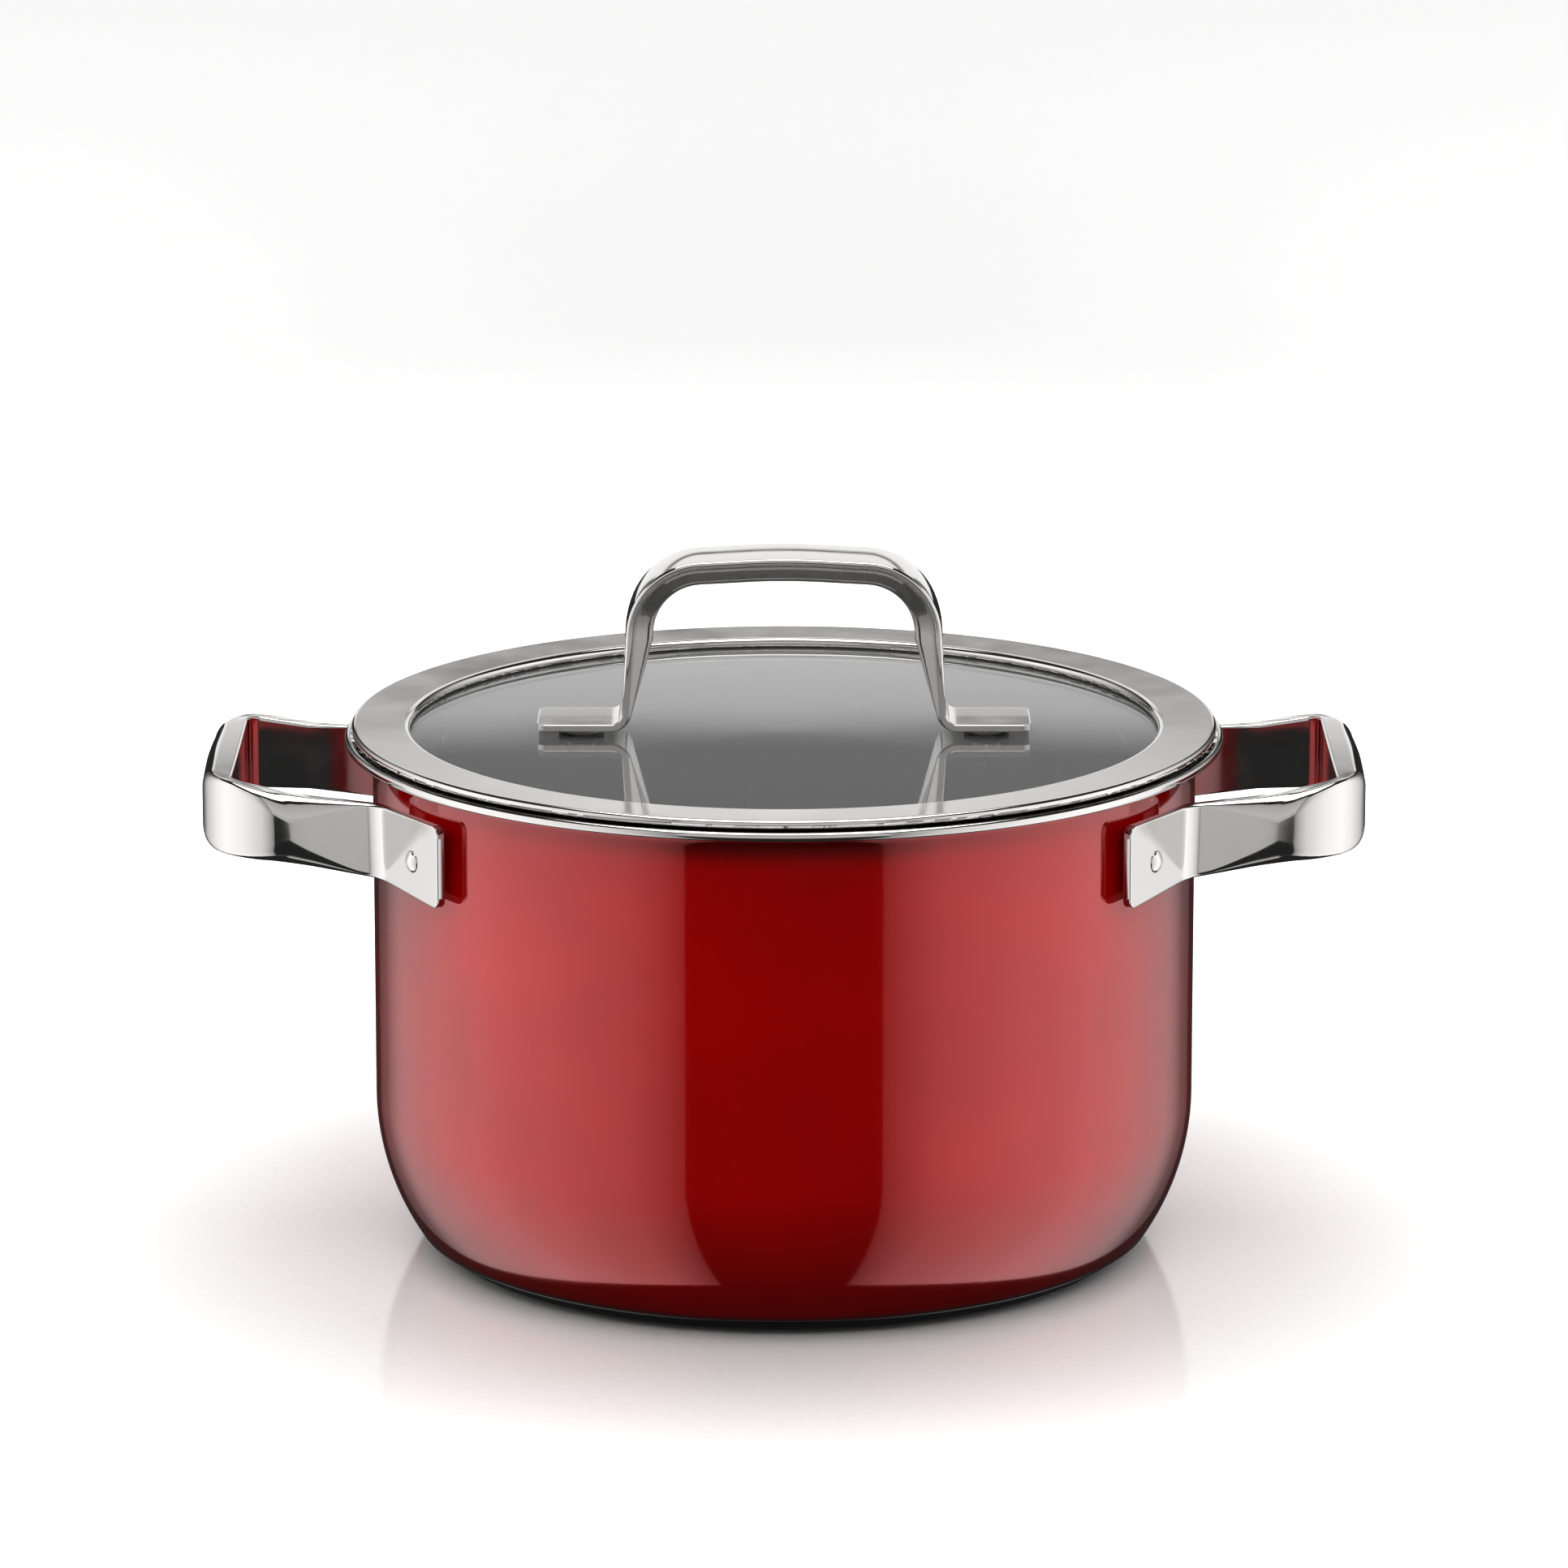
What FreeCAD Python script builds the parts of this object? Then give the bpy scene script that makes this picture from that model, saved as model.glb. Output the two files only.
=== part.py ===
"""Enamelled stock pot, nominal 24 cm, with a steel-rimmed glass lid.

Millimetres, +Z up, origin at the centre of the base on the surface the pot stands on.
+X runs through the right-hand side handle. Every piece is its own solid in parts/NODE.step.
"""
import FreeCAD, Part
import math
import os

V = FreeCAD.Vector
UP = V(0, 0, 1)

# ---- pot shell -----------------------------------------------------------------------
POT_R = 122.0          # outer radius of the straight wall
RIM_Z = 155.0          # top of the rim band
WALL = 1.2             # enamelled sheet
CORNER_R = 73.0        # big curve from the wall to the base
CORNER_IN = 12.3       # how far that curve comes in before it meets the base plate
BASE_T = 5.4           # base plate thickness
BASE_SLOPE = 7.7       # how far the base plate's edge comes in from top to bottom
BASE_EDGE_R = 9.0      # rounding of the base plate's edge
RIM_OUT = 8.0          # overhang of the pouring rim, steel band included
FLARE_ANGLE = 62.0     # lean of the pouring rim from the vertical, degrees
FLARE_R = 4.0          # curve from the wall into the pouring rim
LIP_R = 2.5            # curve from the pouring rim into its flat lip
LIP_W = 3.6            # width of the flat lip
BAND_T = 0.8           # sheet of the steel rim band
BAND_W = 5.6           # width of the band on top of the lip
BAND_UNDER = 2.0       # width of the band under the lip
BAND_BEND_R = 1.15     # outside bend of the band
BAND_SECTORS = 8       # equal sectors the band is revolved in and joined from

# ---- lid -----------------------------------------------------------------------------
LID_IN = 2.0           # lid ring's edge, in from the rim band's
LID_RISE = 3.2         # top face of the lid ring above the rim band
RING_W = 17.1          # width of the lid ring's flat face, bends included
RING_T = 0.9           # sheet of the lid ring
RING_DEPTH = 2.3       # height of the ring's outer edge
RING_BEND_R = 1.15     # outside bend of the ring
GLASS_T = 4.0          # toughened glass
GLASS_SINK = 3.4       # how far the glass lies below the ring's top face
GLASS_LAND = 2.3       # how far the ring overlaps the glass
GASKET_LIP = 0.3       # gasket on top of the glass
GASKET_T = 0.8         # gasket round the edge of the glass
GASKET_FOOT = 0.6      # gasket under the glass
RETAINER_T = 0.8       # sheet of the ring that holds the glass from below
RETAINER_BEND_R = 1.2
SEAL_LIP_T = 1.2       # lip of the silicone seal inside the pot's mouth
SEAL_LIP_DEPTH = 4.0   # how far that lip hangs below the rim
SEAL_ROUND = 0.4

# ---- lid handle ----------------------------------------------------------------------
GRIP_RISE = 50.9       # top of the lid handle above the lid ring
GRIP_BOW = 2.2         # how far the grip falls from its middle to its corners
GRIP_FLAT_X = 6.0      # where the fall starts
GRIP_BOW_R = 200.0     # curve at the start of the fall
GRIP_W = 23.7          # width of its strap
GRIP_T = 8.4           # depth of the strap at the grip
GRIP_CORNER_R = 23.0   # outside corners of the grip
LEG_X = 48.0           # outside of the leg, produced down to the foot
LEG_LEAN = 2.0         # how far the leg leans in by the top of the grip
FOOT_RUN = 25.0        # foot's end beyond the leg
FOOT_T = 2.2           # thickness of each foot
FOOT_LIFT = 1.8        # grommet flange between the foot and the glass
FOOT_BEND_R = 3.4      # inside bend between the leg and the foot
FOOT_CORNER_R = 3.0
GRIP_EDGE_T = 2.6      # straight edge of the strap beside its crown
GRIP_CROWN_INSET = 5.0 # how far the crown steps in from each edge at the grip
CROWN_START = 0.3      # crown left at the foot
BEND_SECTIONS = 9      # strap sections round each bend
STUD_IN = 13.0         # foot's end to the stud's centre
STUD_R = 2.5           # M5 stud
DOME_H = 3.2           # dome of the cap nut below its hexagon
SLEEVE_T = 1.5         # grommet wall in the glass
GROMMET_R = 6.75       # grommet flange and lower washer
LOWER_WASHER_T = 1.5
NUT_WASHER_R = 5.0     # steel washer under the cap nut
NUT_WASHER_T = 1.0
NUT_AF = 8.0           # cap nut across flats
NUT_H = 4.0            # hexagon of the cap nut
NUT_SKIN = 1.5         # wall of the cap nut's dome over the stud's end
NUT_STEP = 0.2         # dome in from the hexagon's flats
NUT_ROUND = 0.75       # rounding of the dome, as a share of its height

# ---- side handles --------------------------------------------------------------------
HANDLE_REACH = 49.0    # outside of the grip beyond the wall
HANDLE_HALF_Y = 51.3   # outside of the two arms
HANDLE_END_T = 9.6     # thickness of the grip
HANDLE_ARM_T = 10.6    # thickness of an arm at the grip
HANDLE_NECK_T = 3.6    # thickness of an arm where it meets its flange
HANDLE_CORNER_R = 27.0
HANDLE_INNER_R = 4.0
FLANGE_T = 2.6
FLANGE_ANGLE = 32.0    # direction of each flange's rivet from the X axis, degrees
FLANGE_GAP = 2.4       # flange to wall at the rivet
FLANGE_END = 15.0      # rivet to the flange's free end
FLANGE_BEND_R = 7.0
FLANGE_CORNER_R = 3.0
# bottom and top of the handle below the rim, from the grip to a flange's end
GRIP_DROPS = (27.8, 5.4)
WAIST_DROPS = (28.8, 9.0)
NECK_DROPS = (33.4, 11.2)
FLANGE_DROPS = (35.4, 10.6)
NECK_ROUND, WAIST_ROUND, GRIP_ROUND = 20.0, 25.0, 12.0   # curves between those heights

# ---- rivets --------------------------------------------------------------------------
RIVET_DROP = 23.8      # rivet below the rim
RIVET_R = 2.4          # shank
RIVET_HEAD_R = 3.3     # domed head outside
RIVET_HEAD_H = 1.5
RIVET_TAIL_R = 5.5     # flat head inside the pot
RIVET_TAIL_H = 1.4
SPACER_R = 5.5
BORE_OVERRUN = 10.0    # how far a cutting shaft runs past what it bores

# ---- clearances ----------------------------------------------------------------------
FIT = 0.05             # radial clearance of a shank in its hole
REST_GAP = 0.3         # lid seal above the rim band
TURN_GAP = 0.3         # seal to the lid pieces that turn past it
MOUTH_GAP = 0.6        # seal lip inside the pot's mouth

# ---- places worked out from the values above -------------------------------------------
POT_IN_R = POT_R - WALL
BASE_TOP_R = POT_R - CORNER_IN
BASE_R = BASE_TOP_R - BASE_SLOPE
RIM_R = POT_R + RIM_OUT
LIP_BOTTOM = RIM_Z - BAND_T - WALL
LID_R = RIM_R - LID_IN
LID_TOP = RIM_Z + LID_RISE
RING_IN_R = LID_R - RING_W
GLASS_TOP = LID_TOP - GLASS_SINK
GLASS_BOTTOM = GLASS_TOP - GLASS_T
GLASS_R = RING_IN_R + GLASS_LAND
RETAINER_TOP = GLASS_BOTTOM - GASKET_FOOT
SEAL_LIP_R = POT_IN_R - MOUTH_GAP
RETAINER_R = SEAL_LIP_R - SEAL_LIP_T - TURN_GAP
GRIP_TOP = LID_TOP + GRIP_RISE
SHOULDER_Z = GRIP_TOP - GRIP_BOW
FOOT_BOTTOM = GLASS_TOP + FOOT_LIFT
FOOT_TOP = FOOT_BOTTOM + FOOT_T
FOOT_X = LEG_X + FOOT_RUN
STUD_X = FOOT_X - STUD_IN
GLASS_HOLE_R = STUD_R + SLEEVE_T + 2 * FIT
NUT_TOP = GLASS_BOTTOM - LOWER_WASHER_T - NUT_WASHER_T
STUD_BOTTOM = NUT_TOP - NUT_H - DOME_H + NUT_SKIN
HANDLE_OUT_X = POT_R + HANDLE_REACH
FLANGE_IN = POT_R + FLANGE_GAP
FLANGE_OUT = FLANGE_IN + FLANGE_T
RIVET_Z = RIM_Z - RIVET_DROP


def rounded_line(points, closed=False):
    """Straight runs through (a, b, radius) corners in the XZ plane, each corner an arc."""
    pts = [V(a, 0, b) for a, b, _ in points]
    count = len(pts)
    starts, ends, arcs = [None] * count, [None] * count, [None] * count
    for i, (_, _, radius) in enumerate(points):
        at_end = not closed and i in (0, count - 1)
        if at_end or radius == 0:
            starts[i] = ends[i] = pts[i]
            continue
        back = (pts[i - 1] - pts[i]).normalize()
        ahead = (pts[(i + 1) % count] - pts[i]).normalize()
        half = back.getAngle(ahead) / 2
        run = radius / math.tan(half)
        starts[i] = pts[i] + back * run
        ends[i] = pts[i] + ahead * run
        middle = (back + ahead).normalize()
        arcs[i] = pts[i] + middle * (radius / math.sin(half) - radius)
    edges = []
    for i in range(count):
        if arcs[i] is not None:
            edges.append(Part.Arc(starts[i], arcs[i], ends[i]).toShape())
        following = (i + 1) % count
        if (closed or following) and (starts[following] - ends[i]).Length > 1e-6:
            edges.append(Part.makeLine(ends[i], starts[following]))
    return Part.Wire(edges)


def turned(points):
    """A closed (radius, height, rounding) outline revolved about Z."""
    face = Part.Face(rounded_line(points, closed=True))
    return face.revolve(V(0, 0, 0), UP, 360)


def one_solid(shape):
    """The only solid of a boolean's result."""
    solid, = shape.Solids
    return solid


def turned_sheet(wire, thickness):
    """An open outline given a sheet thickness to one side, revolved about Z."""
    face = wire.makeOffset2D(thickness, 2, True, True)
    return face.revolve(V(0, 0, 0), UP, 360)


def cylinder(radius, low, high, x=0.0, y=0.0):
    return Part.makeCylinder(radius, high - low, V(x, y, low), UP)


def tube(outer, inner, low, high, x=0.0):
    return one_solid(cylinder(outer, low, high, x).cut(cylinder(inner, low, high, x)))


def save(name, *solids):
    shape = solids[0] if len(solids) == 1 else Part.makeCompound(list(solids))
    shape.exportStep("parts/" + name + ".step")


# ---- pot -----------------------------------------------------------------------------
def pot_outline():
    """Outside of the shell from the axis, round the corner and up to the pouring lip."""
    centre_r = POT_R - CORNER_R
    low = math.acos((BASE_TOP_R - centre_r) / CORNER_R)
    centre_z = BASE_T + CORNER_R * math.sin(low)

    def corner(angle):
        return V(centre_r + CORNER_R * math.cos(angle), 0, centre_z - CORNER_R * math.sin(angle))

    floor = Part.makeLine(V(0, 0, BASE_T), corner(low))
    curve = Part.Arc(corner(low), corner(low / 2), corner(0)).toShape()
    lean = math.tan(math.radians(FLARE_ANGLE))
    lip_start = RIM_R - BAND_BEND_R - LIP_W
    flare_z = LIP_BOTTOM - (lip_start - POT_R) / lean
    rim = rounded_line([(POT_R, centre_z, 0), (POT_R, flare_z, FLARE_R),
                        (lip_start, LIP_BOTTOM, LIP_R), (RIM_R - BAND_BEND_R, LIP_BOTTOM, 0)])
    return Part.Wire([floor, curve] + rim.Edges)


def pot_body():
    shell = turned_sheet(pot_outline(), WALL)
    for shaft in rivet_shafts(RIVET_R + FIT):
        shell = shell.cut(shaft)
    return one_solid(shell)


def base_plate():
    return turned([(0, 0, 0), (BASE_R, 0, BASE_EDGE_R), (BASE_TOP_R, BASE_T, 0), (0, BASE_T, 0)])


def rim_band():
    line = rounded_line([(RIM_R - BAND_UNDER, LIP_BOTTOM - BAND_T, 0),
                         (RIM_R, LIP_BOTTOM - BAND_T, BAND_BEND_R),
                         (RIM_R, RIM_Z, BAND_BEND_R), (RIM_R - BAND_W, RIM_Z, 0)])
    sector = line.makeOffset2D(BAND_T, 2, True, True).revolve(V(0, 0, 0), UP, 360 / BAND_SECTORS)
    others = []
    for k in range(1, BAND_SECTORS):
        other = sector.copy()
        other.rotate(V(0, 0, 0), UP, 360 * k / BAND_SECTORS)
        others.append(other)
    return one_solid(sector.fuse(others))


# ---- side handles, drawn on the +X side ----------------------------------------------
def flange_point(depth, along, front):
    """A plan point at a distance from the axis and along the flange, on one arm."""
    a = math.radians(FLANGE_ANGLE)
    x = depth * math.cos(a) - along * math.sin(a)
    y = depth * math.sin(a) + along * math.cos(a)
    return (x, -y if front else y)


def flange_meet(depth, half_y):
    """Where a flange face at this depth crosses a line parallel to the arm."""
    a = math.radians(FLANGE_ANGLE)
    return (half_y - depth * math.sin(a)) / math.cos(a)


def handle_plan():
    neck_y = HANDLE_HALF_Y - HANDLE_NECK_T
    inner_x = HANDLE_OUT_X - HANDLE_END_T
    outer_bend = flange_meet(FLANGE_OUT, HANDLE_HALF_Y)
    inner_bend = flange_meet(FLANGE_IN, neck_y)
    half = [flange_point(FLANGE_OUT, FLANGE_END, True) + (0,),
            flange_point(FLANGE_OUT, outer_bend, True) + (FLANGE_BEND_R,),
            (HANDLE_OUT_X, -HANDLE_HALF_Y, HANDLE_CORNER_R)]
    inner = [(inner_x, HANDLE_HALF_Y - HANDLE_ARM_T, HANDLE_INNER_R),
             flange_point(FLANGE_IN, inner_bend, False) + (FLANGE_BEND_R,),
             flange_point(FLANGE_IN, FLANGE_END, False) + (0,)]
    back = [(x, -y, r) for x, y, r in reversed(half)]
    front = [(x, -y, r) for x, y, r in reversed(inner)]
    outline = rounded_line(half + back + list(reversed(inner)) + list(reversed(front)), closed=True)
    outline.rotate(V(0, 0, 0), V(1, 0, 0), -90)
    return outline


def handle_side():
    """Heights of the handle along X, seen from the front."""
    bend_x = flange_point(FLANGE_OUT, flange_meet(FLANGE_OUT, HANDLE_HALF_Y), True)[0]
    end_x = flange_point(FLANGE_IN, FLANGE_END, True)[0]
    corner_x = HANDLE_OUT_X - HANDLE_END_T
    waist_x = HANDLE_OUT_X - HANDLE_CORNER_R
    stations = [(end_x, FLANGE_DROPS, 0), (bend_x, NECK_DROPS, NECK_ROUND),
                (waist_x, WAIST_DROPS, WAIST_ROUND), (corner_x, GRIP_DROPS, GRIP_ROUND),
                (HANDLE_OUT_X, GRIP_DROPS, 0)]
    low = [(x, RIM_Z - drops[0], r) for x, drops, r in stations]
    high = [(x, RIM_Z - drops[1], r) for x, drops, r in reversed(stations)]
    return rounded_line(low + high, closed=True)


def flange_corner_cutters():
    """Square-minus-round pieces that trim the free corners of both flanges."""
    r = FLANGE_CORNER_R
    cutters = []
    for front in (True, False):
        for drop, inward in zip(FLANGE_DROPS, (1, -1)):
            block = Part.makeBox(r, 3 * FLANGE_T, r, V(-r, -FLANGE_T, min(0, inward * r)))
            block = block.cut(Part.makeCylinder(r, 3 * FLANGE_T, V(-r, -FLANGE_T, inward * r), V(0, 1, 0)))
            x, y = flange_point(FLANGE_IN, FLANGE_END, front)
            if not front:
                block = block.mirror(V(0, 0, 0), V(0, 1, 0))
            turn = FLANGE_ANGLE + 90 if front else -FLANGE_ANGLE - 90
            block.rotate(V(0, 0, 0), UP, turn)
            block.translate(V(x, y, RIM_Z - drop))
            cutters.append(block)
    return cutters


def side_handle(right):
    plan = Part.Face(handle_plan())
    side = Part.Face(handle_side())
    prism = plan.extrude(V(0, 0, RIM_Z))
    reach = HANDLE_HALF_Y + POT_R
    side.translate(V(0, -reach, 0))
    handle = prism.common(side.extrude(V(0, 2 * reach, 0))).removeSplitter()
    for cutter in flange_corner_cutters():
        handle = handle.cut(cutter)
    for shaft in rivet_shafts(RIVET_R + FIT):
        handle = handle.cut(shaft)
    if not right:
        handle.rotate(V(0, 0, 0), UP, 180)
    return one_solid(handle)


# ---- rivets --------------------------------------------------------------------------
def along_rivet(angle, solid):
    """Move a solid drawn along +X at the origin onto a rivet's axis."""
    solid.rotate(V(0, 0, 0), UP, angle)
    solid.translate(V(0, 0, RIVET_Z))
    return solid


def rivet_angles(right):
    middle = 0 if right else 180
    return middle - FLANGE_ANGLE, middle + FLANGE_ANGLE


def bar(radius, near, far):
    return Part.makeCylinder(radius, far - near, V(near, 0, 0), V(1, 0, 0))


def rivet_shafts(radius):
    """The four rivet bores, as solids to cut with."""
    return [along_rivet(angle, bar(radius, POT_IN_R - BORE_OVERRUN, FLANGE_OUT + BORE_OVERRUN))
            for right in (True, False) for angle in rivet_angles(right)]


def domed_head(radius, height, seat):
    """A spherical cap on a flat seat across +X."""
    ball_r = (radius ** 2 + height ** 2) / (2 * height)
    ball = Part.makeSphere(ball_r, V(seat + height - ball_r, 0, 0))
    return ball.common(bar(radius, seat, seat + height + 1))


def rivets(right):
    made = []
    for angle in rivet_angles(right):
        shank = bar(RIVET_R, POT_IN_R - RIVET_TAIL_H, FLANGE_OUT)
        head = domed_head(RIVET_HEAD_R, RIVET_HEAD_H, FLANGE_OUT)
        tail = bar(RIVET_TAIL_R, POT_IN_R - RIVET_TAIL_H, POT_IN_R)
        tail = tail.common(cylinder(POT_IN_R, -RIVET_Z, RIM_Z))
        rivet = along_rivet(angle, shank.fuse([head, tail]))
        made.append(one_solid(rivet))
    return made


def spacers(right):
    """Bushes that hold each flange off the wall, shaped to the wall."""
    made = []
    for angle in rivet_angles(right):
        bush = bar(SPACER_R, POT_IN_R, FLANGE_IN).cut(bar(RIVET_R + FIT, POT_IN_R, FLANGE_IN))
        bush = along_rivet(angle, bush)
        made.append(one_solid(bush.cut(cylinder(POT_R, 0, RIM_Z))))
    return made


# ---- lid -----------------------------------------------------------------------------
def lid_ring():
    skirt_bottom = LID_TOP - RING_DEPTH
    line = rounded_line([(LID_R, skirt_bottom, 0), (LID_R, LID_TOP, RING_BEND_R),
                         (RING_IN_R, LID_TOP, RING_BEND_R), (RING_IN_R, GLASS_TOP + GASKET_LIP, 0)])
    return turned_sheet(line, RING_T)


def lid_seal():
    low = RIM_Z + REST_GAP
    high = LID_TOP - RING_T - TURN_GAP
    outer = LID_R - RING_T - TURN_GAP
    lip_in = SEAL_LIP_R - SEAL_LIP_T
    lip_low = RIM_Z - SEAL_LIP_DEPTH
    return turned([(lip_in, lip_low, SEAL_ROUND), (SEAL_LIP_R, lip_low, SEAL_ROUND),
                   (SEAL_LIP_R, low, 0), (outer, low, SEAL_ROUND), (outer, high, SEAL_ROUND),
                   (lip_in, high, 0)])


def retaining_ring():
    line = rounded_line([(RING_IN_R, RETAINER_TOP, 0),
                         (RETAINER_R - RETAINER_T, RETAINER_TOP, RETAINER_BEND_R),
                         (RETAINER_R - RETAINER_T, LID_TOP - RING_T, 0)])
    return turned_sheet(line, -RETAINER_T)


def glass_gasket():
    outer = GLASS_R + GASKET_T
    body = tube(outer, RING_IN_R, RETAINER_TOP, GLASS_TOP + GASKET_LIP)
    return one_solid(body.cut(cylinder(GLASS_R, GLASS_BOTTOM, GLASS_TOP)))


def lid_glass():
    disc = cylinder(GLASS_R, GLASS_BOTTOM, GLASS_TOP)
    for x in (-STUD_X, STUD_X):
        disc = disc.cut(cylinder(GLASS_HOLE_R, GLASS_BOTTOM - 1, GLASS_TOP + 1, x))
    return one_solid(disc)


def grip_line():
    """Outside of one half of the lid handle, from the foot's end to the middle of the grip."""
    return rounded_line([(FOOT_X, FOOT_TOP, 0), (LEG_X, FOOT_TOP, FOOT_BEND_R),
                         (LEG_X - LEG_LEAN, SHOULDER_Z, GRIP_CORNER_R),
                         (GRIP_FLAT_X, GRIP_TOP, GRIP_BOW_R), (0, GRIP_TOP, 0)])


def strap_section(point, outward):
    """The strap's outline across its run: flat outside, crowned inside."""
    rise = (point.z - FOOT_TOP) / (SHOULDER_Z - GRIP_CORNER_R - FOOT_TOP)
    rise = min(max(rise, 0.0), 1.0)
    depth = FOOT_T + (GRIP_T - FOOT_T) * rise
    edge = FOOT_T - CROWN_START + (GRIP_EDGE_T - FOOT_T + CROWN_START) * rise
    inset = CROWN_START + (GRIP_CROWN_INSET - CROWN_START) * rise
    half = GRIP_W / 2
    corners = [(-half, 0), (half, 0), (half, edge), (half - inset, depth),
               (-half + inset, depth), (-half, edge)]
    pts = [point + V(0, a, 0) - outward * d for a, d in corners]
    return Part.makePolygon(pts + pts[:1])


def lid_handle():
    places = []
    for edge in grip_line().Edges:
        first, last = edge.FirstParameter, edge.LastParameter
        steps = BEND_SECTIONS if edge.Curve.TypeId == "Part::GeomCircle" else 1
        for k in range(steps):
            at = first + (last - first) * k / steps
            along = edge.tangentAt(at)
            places.append((edge.valueAt(at), V(along.z, 0, -along.x)))
    half = [strap_section(point, outward) for point, outward in places]
    middle = strap_section(V(0, 0, GRIP_TOP), UP)
    other = [w.mirror(V(0, 0, 0), V(1, 0, 0)) for w in reversed(half)]
    strap = Part.makeLoft(half + [middle] + other, True, True)
    half_w = GRIP_W / 2
    corners = [(x, y, FOOT_CORNER_R) for x, y in ((-FOOT_X, -half_w), (FOOT_X, -half_w),
                                                  (FOOT_X, half_w), (-FOOT_X, half_w))]
    outline = rounded_line(corners, closed=True)
    outline.rotate(V(0, 0, 0), V(1, 0, 0), -90)
    return one_solid(strap.common(Part.Face(outline).extrude(V(0, 0, GRIP_TOP + 1))))


# ---- lid fasteners -------------------------------------------------------------------
def at_studs(make):
    """The same piece at both studs."""
    return [make(x) for x in (-STUD_X, STUD_X)]


def stud(x):
    return cylinder(STUD_R, STUD_BOTTOM, FOOT_BOTTOM, x)


def grommet(x):
    """Flange under the foot with a sleeve down through the glass."""
    flange = cylinder(GROMMET_R, GLASS_TOP, FOOT_BOTTOM, x)
    sleeve = cylinder(GLASS_HOLE_R - FIT, GLASS_BOTTOM, FOOT_BOTTOM, x)
    bore = cylinder(STUD_R + FIT, GLASS_BOTTOM, FOOT_BOTTOM, x)
    return one_solid(flange.fuse(sleeve).cut(bore))


def lower_washer(x):
    return tube(GROMMET_R, STUD_R + FIT, GLASS_BOTTOM - LOWER_WASHER_T, GLASS_BOTTOM, x)


def nut_washer(x):
    return tube(NUT_WASHER_R, STUD_R + FIT, NUT_TOP, NUT_TOP + NUT_WASHER_T, x)


def cap_nut(x):
    top = NUT_TOP
    corner = NUT_AF / math.sqrt(3)
    points = [V(x + corner * math.cos(math.radians(a)), corner * math.sin(math.radians(a)), top - NUT_H)
              for a in range(0, 361, 60)]
    hexagon = Part.Face(Part.makePolygon(points)).extrude(V(0, 0, NUT_H))
    dome_r = NUT_AF / 2 - NUT_STEP
    dome = turned([(0, -DOME_H, 0), (dome_r, -DOME_H, NUT_ROUND * DOME_H), (dome_r, 0, 0), (0, 0, 0)])
    dome.translate(V(x, 0, top - NUT_H))
    bore = cylinder(STUD_R, STUD_BOTTOM, top, x)
    return one_solid(hexagon.fuse(dome).cut(bore))


def main():
    os.makedirs("parts", exist_ok=True)
    save("pot_body", pot_body())
    save("base_plate", base_plate())
    save("rim_band", rim_band())
    for name, right in (("left", False), ("right", True)):
        save("side_handle_" + name, side_handle(right))
        save("handle_rivets_" + name, *rivets(right))
        save("handle_spacers_" + name, *spacers(right))
    save("lid_seal", lid_seal())
    save("lid_ring", lid_ring())
    save("retaining_ring", retaining_ring())
    save("glass_gasket", glass_gasket())
    save("lid_glass", lid_glass())
    save("lid_handle", lid_handle())
    save("lid_handle_studs", *at_studs(stud))
    save("stud_grommets", *at_studs(grommet))
    save("lower_washers", *at_studs(lower_washer))
    save("nut_washers", *at_studs(nut_washer))
    save("cap_nuts", *at_studs(cap_nut))


if __name__ == "__main__":
    main()
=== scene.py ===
import math

import bmesh
import bpy
from bpy.props import FloatProperty, IntProperty, PointerProperty, StringProperty
from mathutils import Matrix, Vector


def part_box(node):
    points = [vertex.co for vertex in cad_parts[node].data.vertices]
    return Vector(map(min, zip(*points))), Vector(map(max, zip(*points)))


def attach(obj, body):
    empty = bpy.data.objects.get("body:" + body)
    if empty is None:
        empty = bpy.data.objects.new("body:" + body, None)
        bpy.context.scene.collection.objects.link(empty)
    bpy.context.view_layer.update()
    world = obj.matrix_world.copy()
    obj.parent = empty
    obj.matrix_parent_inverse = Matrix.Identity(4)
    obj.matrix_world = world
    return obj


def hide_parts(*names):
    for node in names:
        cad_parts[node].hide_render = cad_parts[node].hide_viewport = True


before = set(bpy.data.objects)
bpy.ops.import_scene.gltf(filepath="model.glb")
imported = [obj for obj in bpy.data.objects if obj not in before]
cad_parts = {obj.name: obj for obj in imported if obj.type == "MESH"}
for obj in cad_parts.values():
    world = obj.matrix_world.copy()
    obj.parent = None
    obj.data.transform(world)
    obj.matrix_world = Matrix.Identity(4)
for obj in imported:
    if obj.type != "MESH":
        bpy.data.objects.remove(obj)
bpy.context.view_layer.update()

bl_info = {
    "name": "Stock Pot",
    "version": (1, 0, 0),
    "blender": (4, 5, 0),
    "location": "3D View > Sidebar > Stock Pot",
    "description": "Builds an enamelled stock pot with a glass lid, piece by piece",
    "category": "Add Mesh",
}

MM = 0.001
END_ROUND = 0.35 * MM    # rounding of the edges round a handle's end faces
SUPPORT = 1.12           # a flat face starts this many roundings in from its corner, to shade flat
CARD_R = 1.2             # the light cards stand this far from the pot's axis, in metres


def lowest(node, axis):
    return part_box(node)[0][axis]


def highest(node, axis):
    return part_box(node)[1][axis]


# ---- sizes and colours a user would change ---------------------------------------------
def length(name, description, default):
    """A size in metres."""
    return FloatProperty(name=name, description=description, default=default, unit="LENGTH")


def angle(name, description, degrees):
    return FloatProperty(name=name, description=description, default=math.radians(degrees),
                         subtype="ANGLE", unit="ROTATION")


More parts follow.
